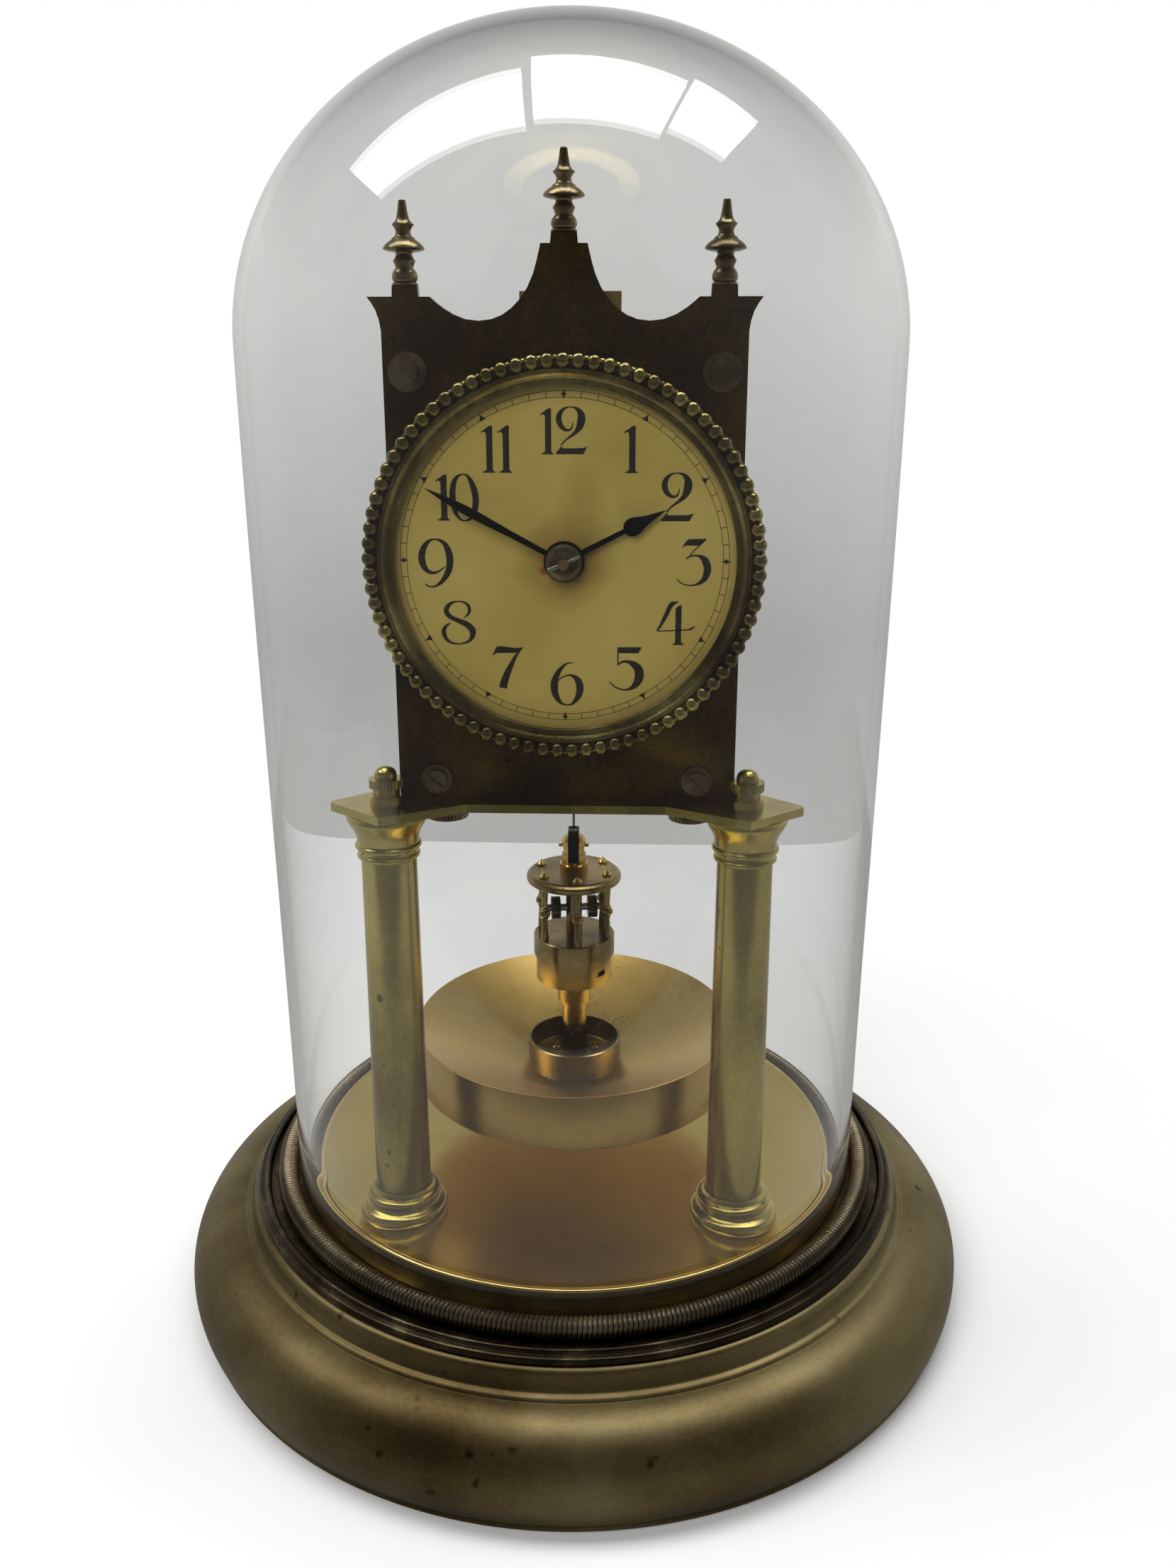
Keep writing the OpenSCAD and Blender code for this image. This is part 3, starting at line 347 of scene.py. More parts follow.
class Shape:
    """Vertices and faces of one piece, gathered from several solids."""

    def __init__(self):
        self.points, self.faces = [], []

    def grid(self, rows, wrap_rows, wrap_columns):
        """Faces over rows of points; a row of one point is a pole."""
        start = []
        for row in rows:
            start.append(len(self.points))
            self.points += row
        count = len(rows)
        for i in range(count if wrap_rows else count - 1):
            a, b = i, (i + 1) % count
            na, nb = len(rows[a]), len(rows[b])
            n = max(na, nb)
            for k in range(n if wrap_columns else n - 1):
                m = (k + 1) % n
                face = []
                corners = ((start[a], na, k), (start[a], na, m), (start[b], nb, m), (start[b], nb, k))
                for base, size, j in corners:
                    index = base + (j if size > 1 else 0)
                    if index not in face:
                        face.append(index)
                if len(face) > 2:
                    self.faces.append(face)

    def lathe(self, profile, at=(0, 0, 0), axis="Z", steps=96):
        """Turns (radius, height) points about an axis through "at"; on axis Y the height runs towards -Y."""
        ends = profile[0][0] < 1e-6 and profile[-1][0] < 1e-6
        rows = []
        for r, h in profile:
            row = []
            for k in range(1 if r < 1e-6 else steps):
                a = 2 * math.pi * k / steps
                c, s = r * math.cos(a), r * math.sin(a)
                p = (c, s, h) if axis == "Z" else (c, -h, s)
                row.append(tuple(p[i] + at[i] for i in range(3)))
            rows.append(row)
        self.grid(rows, not ends, True)

    def slab(self, outline, y_front, y_back, at=(0, 0)):
        """An outline in the X-Z plane between two depths, capped by one face each side."""
        n, first = len(outline), len(self.points)
        for y in (y_front, y_back):
            self.points += [(x + at[0], y, z + at[1]) for x, z in outline]
        self.faces.append(list(range(first, first + n)))
        self.faces.append(list(range(first + 2 * n - 1, first + n - 1, -1)))
        for k in range(n):
            m = (k + 1) % n
            self.faces.append([first + k, first + m, first + n + m, first + n + k])

    def ribbon(self, left, right, y_front, y_back):
        """A strip between two lines in the X-Z plane, with thickness."""
        rows = [[(lx, y_front, lz), (rx, y_front, rz), (rx, y_back, rz), (lx, y_back, lz)]
                for (lx, lz), (rx, rz) in zip(left, right)]
        first = len(self.points)
        self.grid(rows, False, True)
        self.faces.append([first + k for k in range(4)])
        self.faces.append([first + 4 * (len(rows) - 1) + k for k in (3, 2, 1, 0)])

    def ball(self, at, radii, steps=16, rings=9):
        """An ellipsoid about "at"."""
        rows = []
        for i in range(rings + 1):
            b = -math.pi / 2 + math.pi * i / rings
            size = 1 if i in (0, rings) else steps
            rows.append([(at[0] + radii[0] * math.cos(b) * math.cos(2 * math.pi * k / steps),
                          at[1] + radii[1] * math.cos(b) * math.sin(2 * math.pi * k / steps),
                          at[2] + radii[2] * math.sin(b)) for k in range(size)])
        self.grid(rows, False, True)

    def piece(self, name, body, material, replaces=(), slot=None, bevel=0.0, smooth=True):
        """Makes the gathered solids into one piece that rides on a body."""
        mesh = bpy.data.meshes.new(name)
        mesh.from_pydata([tuple(c * MM for c in p) for p in self.points], [], self.faces)
        work = bmesh.new()
        work.from_mesh(mesh)
        bmesh.ops.recalc_face_normals(work, faces=work.faces)
        work.to_mesh(mesh)
        work.free()
        mesh.materials.append(material)
        piece = bpy.data.objects.new(name, mesh)
        bpy.context.scene.collection.objects.link(piece)
        finish_edges(piece, bevel, smooth)
        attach(piece, body)
        if replaces:
            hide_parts(*replaces)
        return piece


def finish_edges(piece, bevel, smooth=True, angle=28):
    """Smooth faces between sharp edges, which get a small bevel (millimetres)."""
    if smooth:
        piece.data.polygons.foreach_set("use_smooth", [True] * len(piece.data.polygons))
        piece.data.set_sharp_from_angle(angle=math.radians(angle))
    if bevel:
        mod = piece.modifiers.new("edges", "BEVEL")
        mod.width = bevel * MM
        mod.segments = 2
        mod.limit_method = "ANGLE"
        mod.angle_limit = math.radians(angle)
        mod.harden_normals = True


def turned_piece(name, body, profile, material, replaces=(), slot=None, bevel=0.12, steps=128,
                 places=((0, 0, 0),), axis="Z"):
    """One profile turned at one place or several."""
    shape = Shape()
    for at in places:
        shape.lathe(profile, at, axis, steps)
    return shape.piece(name, body, material, replaces, slot, bevel)


# --- base ---------------------------------------------------------------------------------
SHELF = low("seat_ring").z
GROOVE = low("coil_ring").z
BASE_R = cad_high.x / MM
EDGE_X, EDGE_Z, EDGE_HEIGHT, SHELL = 86.6, 9.4, 13.6, 1.8
SHELL_HOLE = 30
bulge = arc(EDGE_X, EDGE_Z, BASE_R - EDGE_X, EDGE_HEIGHT, 90, -36, 40)
inside = arc(EDGE_X, EDGE_Z, BASE_R - EDGE_X - SHELL, EDGE_HEIGHT - SHELL, -36, 90, 20)
turned_piece("base_turned_shell", "frame",
             [(BASE_R - 4.0, 0.7)] + inside
             + [(82.4, 23.0), (80.8, 27.0), (SHELL_HOLE, 27.0), (SHELL_HOLE, SHELF), (82.2, SHELF)]
             + arc(82.2, SHELF - 1.4, 1.6, 1.4, 80, 0, 6) + [(84.0, 26.2), (84.25, 25.2)]
             + arc(85.6, 25.0, 1.1, 1.1, 190, 270, 6) + [(86.2, 23.55)] + bulge + [(BASE_R - 2.2, 0.7)],
             base_metal, ["base_shell"], "base_bronze", 0.08, 192)
SEAT_IN = 66.8
turned_piece("base_seat_ring", "frame",
             [(SEAT_IN, SHELF), (82.3, SHELF), (82.5, SHELF + 0.5)]
             + arc(81.6, SHELF + 1.1, 0.9, 0.75, -20, 100, 6) + [(81.0, SHELF + 1.9)]
             + arc(80.2, SHELF + 2.15, 0.75, 0.75, 10, 170, 10) + [(79.2, GROOVE), (SEAT_IN, GROOVE)],
             seat_metal, ["seat_ring"], "base_bronze", 0.05, 192)
FLOOR_R, FLOOR_SHEET, FLOOR_EDGE = 65.4, 2.2, 1.2
turned_piece("floor_plate_turned", "frame",
             [(0, FLOOR_Z - FLOOR_SHEET), (FLOOR_R - 1, FLOOR_Z - FLOOR_SHEET), (FLOOR_R - 1, SHELF),
              (FLOOR_R, SHELF), (FLOOR_R, FLOOR_Z - 0.05), (0, FLOOR_Z)],
             floor_metal, ["floor_plate"], "polished_brass", 0.05, 160)
turned_piece("floor_plate_edge", "frame",
             [(FLOOR_R, SHELF), (FLOOR_R + FLOOR_EDGE, SHELF), (FLOOR_R + FLOOR_EDGE, FLOOR_Z - 0.7)]
             + arc(FLOOR_R + FLOOR_EDGE / 2, FLOOR_Z - 0.55, FLOOR_EDGE / 2, 0.55, 0, 180, 10),
             edge_gold, (), "polished_brass", 0.0, 192)

coil_low, coil_high = low("coil_ring"), high("coil_ring")
COIL_TUBE = (coil_high.z - coil_low.z) / 2
COIL_R = coil_high.x - COIL_TUBE
COIL_Z = (coil_high.z + coil_low.z) / 2
WIRE = 0.52


def wound_coil():
    """Close turns of round wire laid in a ring."""
    shape = Shape()
    turns, per_turn, sides = 440, 14, 6
    rows = []
    for i in range(turns * per_turn):
        a, b = 2 * math.pi * i / (turns * per_turn), 2 * math.pi * i / per_turn
        out = (math.cos(a) * math.cos(b), math.sin(a) * math.cos(b), math.sin(b))
        along = (-math.sin(a), math.cos(a), 0)
        reach = COIL_R + (COIL_TUBE - WIRE) * math.cos(b)
        mid = (reach * math.cos(a), reach * math.sin(a), COIL_Z + (COIL_TUBE - WIRE) * math.sin(b))
        rows.append([tuple(mid[j] + WIRE * (math.cos(c) * out[j] + math.sin(c) * along[j]) for j in range(3))
                     for c in (2 * math.pi * k / sides for k in range(sides))])
    shape.grid(rows, True, True)
    return shape.piece("coil_wire", "frame", coil_metal, ["coil_ring"], "coil_wire")


wound_coil()

# --- dome ---------------------------------------------------------------------------------
dome_low, dome_high = low("glass_dome"), high("glass_dome")
DOME_R = dome_high.x
DOME_FOOT_R = 71.7
CROWN = 66.0
GLASS = 2.2
LIP = 0.8


def dome_profile(inset, n=48):
    """The dome's wall from its foot to its top, this far inside the outer face."""
    foot, wide = DOME_FOOT_R - inset, DOME_R - inset
    low_z, crown_z = dome_low.z + LIP, dome_high.z - CROWN
    profile = [(foot + (wide - foot) * t * t * (3 - 2 * t), low_z + (crown_z - low_z) * t)
               for t in (i / 12 for i in range(12))]
    for i in range(n):
        a = math.pi / 2 * i / n
        profile.append((wide * math.cos(a), crown_z + (CROWN - inset) * math.sin(a)))
    return profile + [(0, dome_high.z - inset)]


outer, inner = dome_profile(0), dome_profile(GLASS)
lip = arc(DOME_FOOT_R - GLASS / 2, dome_low.z + LIP, GLASS / 2, LIP, -20, -160, 8)
shape = Shape()
shape.lathe(list(reversed(outer)) + lip + inner, steps=160)
shape.piece("dome_blown_glass", "dome", dome_glass, ["glass_dome"], "dome_glass")

# --- columns ------------------------------------------------------------------------------
column_places = [(s * COLUMN_X, COLUMN_Y, 0) for s in (-1, 1)]
ROD = 2.45
FOOT_TOP, SHAFT_TOP = high("column_feet").z, high("columns").z
PLATFORM_LOW = low("platform").z


def column_foot():
    """Plinth, hollow and ring, up from the floor plate."""
    z = FLOOR_Z
    return ([(ROD, z), (9.6, z)] + arc(9.2, z + 1.35, 0.8, 1.3, -60, 70, 8) + [(8.9, z + 2.75)]
            + arc(8.9, z + 3.6, 0.75, 0.75, 230, 150, 6) + [(8.0, z + 4.2)]
            + arc(7.8, z + 5.1, 0.85, 0.85, -50, 75, 8)
            + [(7.3, z + 6.1), (6.85, FOOT_TOP - 0.6), (6.7, FOOT_TOP), (ROD, FOOT_TOP)])


def column_capital():
    """Two rings and a flaring bell, up from the top of the shaft to the platform."""
    z = SHAFT_TOP
    return ([(ROD, z), (6.2, z)] + arc(6.2, z + 0.75, 0.65, 0.6, -70, 70, 8)
            + [(6.25, z + 1.6), (6.25, z + 2.2)] + arc(6.5, z + 3.0, 0.75, 0.65, -70, 70, 8)
            + [(6.6, z + 3.9), (6.8, z + 5.2), (7.3, z + 6.6), (8.0, z + 7.7)]
            + arc(8.2, PLATFORM_LOW - 1.0, 0.6, 0.7, -40, 40, 5) + [(8.5, PLATFORM_LOW), (ROD, PLATFORM_LOW)])


turned_piece("column_foot_turnings", "frame", column_foot(),
             column_metal, ["column_feet"], "aged_brass", 0.05, 64, column_places)
turned_piece("column_shafts", "frame",
             [(ROD, FOOT_TOP), (SHAFT_FOOT_R, FOOT_TOP), (SHAFT_TOP_R, SHAFT_TOP), (ROD, SHAFT_TOP)],
             column_metal, ["columns"], "aged_brass", 0.05, 96, column_places)
turned_piece("column_capital_turnings", "frame", column_capital(),
             column_metal, ["column_capitals"], "aged_brass", 0.04, 64, column_places)

# --- finials ------------------------------------------------------------------------------
finial_y = (low("finials").y + high("finials").y) / 2


def finial_profile(base, height):
    """A vase-shaped finial with its pin below, scaled from one 15 mm tall."""
    pin = [(0, -3.0), (0.78, -3.0), (0.78, 0)]
    ring = [(2.45, 0), (2.58, 0.1), (2.58, 0.3), (2.45, 0.42), (2.12, 0.52)]
    ball = [(2.35, 0.75), (2.5, 1.1), (2.56, 1.5), (2.5, 1.95),
            (2.3, 2.4), (2.05, 2.75), (1.8, 3.0), (1.76, 3.25)]
    neck = [(1.95, 3.8), (2.18, 4.25), (2.18, 4.42), (1.9, 4.8), (1.66, 5.25), (1.62, 5.6), (1.8, 5.85)]
    brim = [(2.8, 5.98), (3.7, 6.18), (4.05, 6.4), (4.08, 6.55),
            (3.9, 6.9), (3.45, 7.35), (2.9, 7.75), (2.35, 8.1)]
    stem = [(2.2, 8.4), (1.8, 8.6), (1.55, 8.95), (1.46, 9.5), (1.6, 10.0), (2.12, 10.65), (2.14, 10.8)]
    tip = [(1.8, 11.0), (1.3, 11.6), (1.1, 12.4), (0.92, 13.4),
           (0.78, 14.5), (0.72, 14.85), (0.5, 15), (0, 15)]
    return [(r, base + z * height / 15) for r, z in pin + ring + ball + neck + brim + stem + tip]


peak = high("pediment").z
side_block = peak - 9.8
SIDE_FINIAL_X = 31.4
shape = Shape()
shape.lathe(finial_profile(peak, 15.0), (0, finial_y, 0), steps=40)
for side in (-1, 1):
    shape.lathe(finial_profile(side_block, 15.6), (side * SIDE_FINIAL_X, finial_y, 0), steps=40)
shape.piece("finial_turnings", "frame", finial_metal, ["finials"], "aged_brass")

# --- bezel --------------------------------------------------------------------------------
face = PLATE_FRONT
rim = arc(BEZEL_R - 1.5, face + 3.6, 1.15, 1.0, -20, 150, 8)
slope = [(BEZEL_R - 3.9 - 2.1 * t, face + 4.85 - 0.75 * t - 0.5 * math.sin(math.pi * t))
         for t in (0, 0.2, 0.4, 0.6, 0.8, 1)]
shape = Shape()
shape.lathe([(BEZEL_R - 1.6, face), (BEZEL_R - 0.5, face), (BEZEL_R - 0.35, face + 3.0)] + rim
            + [(BEZEL_R - 3.1, face + 4.95), (BEZEL_R - 3.6, face + 4.9)] + slope
            + [(BEZEL_R - 6.1, face + 3.9), (BEZEL_R - 3, face + 3.9), (BEZEL_R - 2.6, face + 3.4)],
            (0, 0, DIAL_Z), "Y", 160)
shape.piece("bezel_rim", "frame", bezel_metal, ["bezel"], "aged_brass", 0.04)
shape = Shape()
BEADS, BEAD_RING, BEAD_R = 81, BEZEL_R - 1.5, 1.56
for i in range(BEADS):
    a = 2 * math.pi * i / BEADS
    bead = (BEAD_RING * math.sin(a), -(face + 4.55), DIAL_Z + BEAD_RING * math.cos(a))
    shape.ball(bead, (BEAD_R, 1.5, BEAD_R), 14, 8)
shape.piece("bezel_beads", "frame", bezel_metal, (), "aged_brass")

# --- dial print ---------------------------------------------------------------------------
INK_FRONT, INK_BACK = DIAL_Y - 0.03, DIAL_Y


def smooth_line(points, parts=6):
    """Catmull-Rom points through the given ones; the last number of each is a half width."""
    ends = [points[0]] + points + [points[-1]]
    line = []
    for i in range(1, len(ends) - 2):
        p0, p1, p2, p3 = ends[i - 1:i + 3]
        for k in range(parts):
            t = k / parts
            line.append(tuple(0.5 * (2 * b + (c - a) * t + (2 * a - 5 * b + 4 * c - d) * t * t
                                     + (3 * b - a - 3 * c + d) * t ** 3)
                              for a, b, c, d in zip(p0, p1, p2, p3)))
    return line + [points[-1]]


def stroke(shape, points, at, size=1.0):
    """A brush stroke along (x, z, half width) points."""
    line = smooth_line(points)
    left, right = [], []
    for i, (x, z, w) in enumerate(line):
        a, b = line[max(0, i - 1)], line[min(len(line) - 1, i + 1)]
        dx, dz = b[0] - a[0], b[1] - a[1]
        d = math.hypot(dx, dz) or 1.0
        nx, nz = -dz / d * w, dx / d * w
        left.append((at[0] + (x + nx) * size, at[1] + (z + nz) * size))
        right.append((at[0] + (x - nx) * size, at[1] + (z - nz) * size))
    shape.ribbon(left, right, INK_FRONT, INK_BACK)


def filled(shape, outline, at, size=1.0):
    """A filled outline of (x, z) points."""
    shape.slab([(at[0] + x * size, at[1] + z * size) for x, z in outline], INK_FRONT, INK_BACK)


# Each figure: brush strokes as (x, z, half width) and filled outlines as (x, z), about its own middle.
FIGURES = {
    "0": (
        [
            [(-0.1, 4.65, 0.12), (-1.15, 4.3, 0.28), (-1.95, 3.2, 0.5), (-2.3, 1.6, 0.6),
             (-2.37, 0.1, 0.63), (-2.2, -1.5, 0.58), (-1.7, -3.2, 0.4), (-0.9, -4.35, 0.22),
             (0, -4.65, 0.13)],
            [(0, -4.65, 0.13), (1.1, -4.25, 0.32), (1.9, -3.1, 0.53), (2.25, -1.5, 0.63),
             (2.3, 0.1, 0.65), (2.0, 1.7, 0.63), (1.4, 3.3, 0.48), (0.7, 4.35, 0.26), (-0.1, 4.65, 0.12)],
        ],
        [],
    ),
    "1": (
        [],
        [
            [(-1.39, 3.32), (-1.13, 3.55), (-0.47, 3.97), (0.18, 4.45), (0.58, 4.63), (0.88, 4.6),
             (0.97, 4.4), (0.95, 1.9), (0.95, -3.9), (1.1, -4.28), (1.42, -4.38), (1.42, -4.63),
             (-1.05, -4.63), (-1.05, -4.38), (-0.55, -4.24), (-0.32, -3.87), (-0.32, 2.79),
             (-0.42, 3.18), (-0.66, 3.42), (-0.97, 3.34), (-1.29, 3.12)],
        ],
    ),
    "2": (
        [
            [(0.3, 1.75, 0.1), (0.22, 1.0, 0.13), (-0.05, 0.45, 0.2), (-0.65, 0.12, 0.24),
             (-1.45, 0.32, 0.38), (-2.25, 1.1, 0.52), (-2.65, 2.4, 0.6), (-2.33, 3.6, 0.48),
             (-1.45, 4.5, 0.26), (-0.15, 4.82, 0.12), (1.15, 4.45, 0.34), (1.95, 3.45, 0.68),
             (2.1, 2.3, 0.83), (1.8, 1.1, 0.74), (1.25, 0.15, 0.52), (0.45, -0.65, 0.33),
             (-0.45, -1.3, 0.23), (-1.5, -2.15, 0.16), (-2.15, -2.95, 0.17)],
        ],
        [
            [(-3.25, -4.76), (-3.28, -4.45), (-2.72, -3.9), (-2.2, -3.1), (-2.0, -3.35), (-1.75, -3.56),
             (1.7, -3.55), (2.6, -3.42), (3.27, -3.16), (3.22, -3.35), (2.5, -4.76)],
        ],
    ),
    "3": (
        [
            [(1.9, 4.4, 0.1), (0.65, 3.15, 0.12), (-0.3, 2.2, 0.11), (-0.9, 1.45, 0.1)],
            [(-1.75, 0.58, 0.07), (-1.3, 1.0, 0.16), (-0.65, 1.32, 0.17), (0.4, 1.42, 0.18),
             (1.4, 1.12, 0.42), (2.25, 0.3, 0.72), (2.7, -1.1, 0.77), (2.6, -2.15, 0.73),
             (2.15, -3.3, 0.58), (1.25, -4.15, 0.36), (0.2, -4.6, 0.19), (-0.8, -4.72, 0.13),
             (-1.85, -4.53, 0.12), (-2.75, -4.15, 0.12), (-3.47, -3.42, 0.1)],
        ],
        [
            [(-2.52, 3.06), (-2.0, 4.0), (-1.4, 4.66), (-1.05, 4.76), (2.42, 4.82), (2.25, 4.5),
             (1.15, 3.5), (0.8, 3.42), (-1.6, 3.42), (-2.05, 3.28), (-2.38, 3.0)],
        ],
    ),
    "4": (
        [
            [(-3.9, -1.68, 0.1), (-2.0, -1.63, 0.12), (0.3, -1.5, 0.13), (2.4, -1.38, 0.15),
             (3.2, -1.15, 0.24), (3.75, -0.82, 0.15), (3.95, -0.7, 0.05)],
        ],
        [
            [(0.58, 4.55), (-0.9, 4.53), (-1.3, 4.3), (-1.7, 3.7), (-2.85, 0.95), (-3.4, -0.4),
             (-3.98, -1.45), (-4.0, -1.72), (-3.5, -1.5), (-3.05, -0.9), (-1.8, 1.2), (-0.9, 3.15),
             (-0.35, 3.85), (0.15, 4.15)],
            [(-0.12, 3.0), (0.4, 3.55), (1.13, 3.88), (1.12, -3.8), (1.3, -4.22), (1.73, -4.37),
             (1.73, -4.6), (-0.58, -4.6), (-0.58, -4.38), (-0.2, -4.25), (-0.1, -3.8)],
        ],
    ),
    "5": (
        [
            [(-1.8, 0.78, 0.07), (-1.35, 1.28, 0.19), (-0.6, 1.6, 0.26), (0.3, 1.55, 0.34),
             (1.35, 1.1, 0.64), (2.3, 0.2, 0.88), (2.68, -0.9, 0.95), (2.45, -2.35, 0.88),
             (1.75, -3.5, 0.62), (0.7, -4.25, 0.33), (-0.35, -4.48, 0.19), (-1.4, -4.3, 0.16),
             (-2.45, -3.85, 0.16), (-3.2, -3.2, 0.14), (-3.68, -2.72, 0.09)],
        ],
        [
            [(-1.97, 4.63), (3.1, 4.68), (2.85, 4.1), (2.4, 3.37), (-1.7, 3.37), (-1.68, 1.1),
             (-1.78, 0.76), (-1.97, 0.9)],
        ],
    ),
    "6": (
        [
            [(1.24, 4.58, 0.1), (0.5, 4.5, 0.13), (-0.42, 4.13, 0.25), (-1.34, 3.16, 0.42),
             (-2.08, 2.02, 0.58), (-2.58, 0.58, 0.74), (-2.68, -0.74, 0.77), (-2.5, -2.05, 0.7),
             (-1.92, -3.37, 0.52), (-1.08, -4.26, 0.28), (0, -4.6, 0.13)],
            [(0, -4.6, 0.13), (1.03, -4.32, 0.26), (1.95, -3.37, 0.5), (2.58, -2.05, 0.7),
             (2.72, -0.74, 0.77), (2.47, 0.45, 0.73), (1.87, 1.3, 0.52), (1.03, 1.78, 0.27),
             (0.24, 1.87, 0.18), (-0.68, 1.58, 0.14), (-1.47, 1.03, 0.11), (-1.87, 0.53, 0.07)],
        ],
        [],
    ),
    "7": (
        [
            [(3.0, 4.05, 0.1), (2.3, 3.15, 0.2), (1.55, 2.05, 0.36), (0.7, 0.35, 0.53),
             (-0.15, -1.5, 0.7), (-0.8, -3.3, 0.8), (-1.02, -4.5, 0.84)],
        ],
        [
            [(-3.26, 2.6), (-2.82, 3.13), (-2.55, 3.87), (-2.15, 4.45), (-1.4, 4.52), (0.1, 4.33),
             (1.65, 4.13), (2.6, 4.18), (3.2, 4.35), (3.3, 4.18), (2.85, 3.6), (2.2, 3.2), (1.4, 3.07),
             (-1.3, 3.07), (-2.3, 3.0), (-2.8, 2.7), (-3.13, 2.52)],
        ],
    ),
    "8": (
        [
            [(0.08, 4.5, 0.12), (-1.1, 4.27, 0.25), (-2.03, 3.6, 0.43), (-2.48, 2.68, 0.52),
             (-2.2, 1.75, 0.52), (-1.37, 1.05, 0.48), (-0.05, 0.45, 0.5), (1.53, -0.26, 0.62),
             (2.6, -1.15, 0.68), (2.93, -2.05, 0.64), (2.6, -3.25, 0.44), (1.65, -4.1, 0.24),
             (0.08, -4.5, 0.14)],
            [(0.08, 4.5, 0.12), (1.3, 4.27, 0.21), (2.1, 3.6, 0.32), (2.35, 2.7, 0.33), (2.0, 1.8, 0.24),
             (1.15, 1.05, 0.1)],
            [(0.08, -4.5, 0.14), (-1.5, -4.28, 0.24), (-2.58, -3.5, 0.37), (-3.1, -2.3, 0.49),
             (-3.05, -1.4, 0.42), (-2.5, -0.6, 0.28), (-1.65, -0.1, 0.12)],
        ],
        [],
    ),
    "9": (
        [
            [(-0.2, 4.92, 0.13), (0.85, 4.68, 0.27), (1.9, 3.95, 0.48), (2.55, 2.65, 0.66),
             (2.87, 1.05, 0.72), (2.74, -0.8, 0.68), (2.15, -2.35, 0.6), (1.1, -3.8, 0.42),
             (-0.08, -4.67, 0.24), (-1.13, -4.92, 0.16), (-1.85, -4.68, 0.15), (-2.37, -4.26, 0.1)],
            [(-0.2, 4.92, 0.13), (-1.26, 4.53, 0.32), (-2.26, 3.42, 0.56), (-2.84, 1.85, 0.68),
             (-2.87, 0.53, 0.71), (-2.45, -0.8, 0.6), (-1.66, -1.7, 0.42), (-0.74, -2.0, 0.32),
             (0.32, -1.8, 0.23), (1.23, -1.2, 0.15), (2.03, -0.6, 0.07)],
        ],
        [],
    ),
}
# Hour: middle of the whole number on the dial, then its figures with their places about that middle.
HOURS = {
    1: ((13.35, 22.3), [("1", 0, 0, 1)]),
    2: ((22.85, 12.9), [("2", 0, 0, 1)]),
    3: ((26.5, -0.2), [("3", 0, 0, 1)]),
    4: ((23.0, -12.8), [("4", 0, 0, 1)]),
    5: ((12.9, -22.6), [("5", 0, 0, 1)]),
    6: ((0.4, -25.9), [("6", 0, 0, 1)]),
    7: ((-12.05, -22.4), [("7", 0, 0, 1)]),
    8: ((-22.1, -13.0), [("8", 0, 0, 1)]),
    9: ((-26.4, -0.6), [("9", 0, 0, 1)]),
    10: ((-21.7, 12.7), [("1", -2.97, 0, 1), ("0", 1.47, 0, 1)]),
    11: ((-13.6, 22.3), [("1", -1.65, 0, 1), ("1", 1.68, 0, 1)]),
    12: ((-0.1, 25.9), [("1", -3.34, -0.1, 0.97), ("2", 1.62, 0, 0.955)]),
}
for hour, (middle, figures) in HOURS.items():
    shape = Shape()
    for figure, dx, dz, size in figures:
        at = (middle[0] + dx, DIAL_Z + middle[1] + dz)
        strokes, outlines = FIGURES[figure]
        for points in strokes:
            stroke(shape, points, at, size)
        for outline in outlines:
            filled(shape, outline, at, size)
    shape.piece(f"dial_hour_{hour}", "frame", ink, (), "dial_cream", smooth=False)

TRACK_IN, TRACK_OUT, LINE = 32.35, 33.6, 0.11
shape = Shape()
for r in (TRACK_IN, TRACK_OUT):
    shape.lathe([(r, -INK_BACK), (r + LINE, -INK_BACK), (r + LINE, -INK_FRONT), (r, -INK_FRONT)],
                (0, 0, DIAL_Z), "Y", 180)


def on_dial(r, t, angle):
    """A point r out from the centre and t to its side, at an angle clockwise from twelve."""
    a = math.radians(angle)
    return r * math.sin(a) + t * math.cos(a), DIAL_Z + r * math.cos(a) - t * math.sin(a)


QUARTER_STAR = [(34.0, 0), (33.35, 0.2), (33.0, 0.55), (32.65, 0.2),
                (31.9, 0), (32.65, -0.2), (33.0, -0.55), (33.35, -0.2)]
HOUR_CONE = [(33.9, 0), (33.1, 0.16), (32.6, 0.5), (32.3, 0.8),
             (32.2, 0), (32.3, -0.8), (32.6, -0.5), (33.1, -0.16)]
MINUTE_LINE = [(TRACK_OUT, 0.07), (TRACK_IN + LINE, 0.07), (TRACK_IN + LINE, -0.07), (TRACK_OUT, -0.07)]
for minute in range(60):
    angle = minute * 6
    if minute % 15 == 0:
        mark = QUARTER_STAR
    elif minute % 5 == 0:
        mark = HOUR_CONE
    else:
        mark = MINUTE_LINE
    shape.slab([on_dial(r, t, angle) for r, t in mark], INK_FRONT, INK_BACK)
shape.piece("dial_minute_track", "frame", ink, (), "dial_cream", smooth=False)

# --- collet -------------------------------------------------------------------------------
collet = high("hand_collet").y
turned_piece("hand_collet_turned", "minute_arbor",
             [(1.1, -collet), (3.8, -collet), (3.8, -collet + 0.25), (3.45, -collet + 0.35),
              (3.3, -collet + 0.5), (2.6, -collet + 0.85), (1.8, -collet + 1.05), (1.1, -collet + 1.1)],
             screw_metal, ["hand_collet"], "aged_brass", 0.03, 64, ((0, 0, DIAL_Z),), "Y")

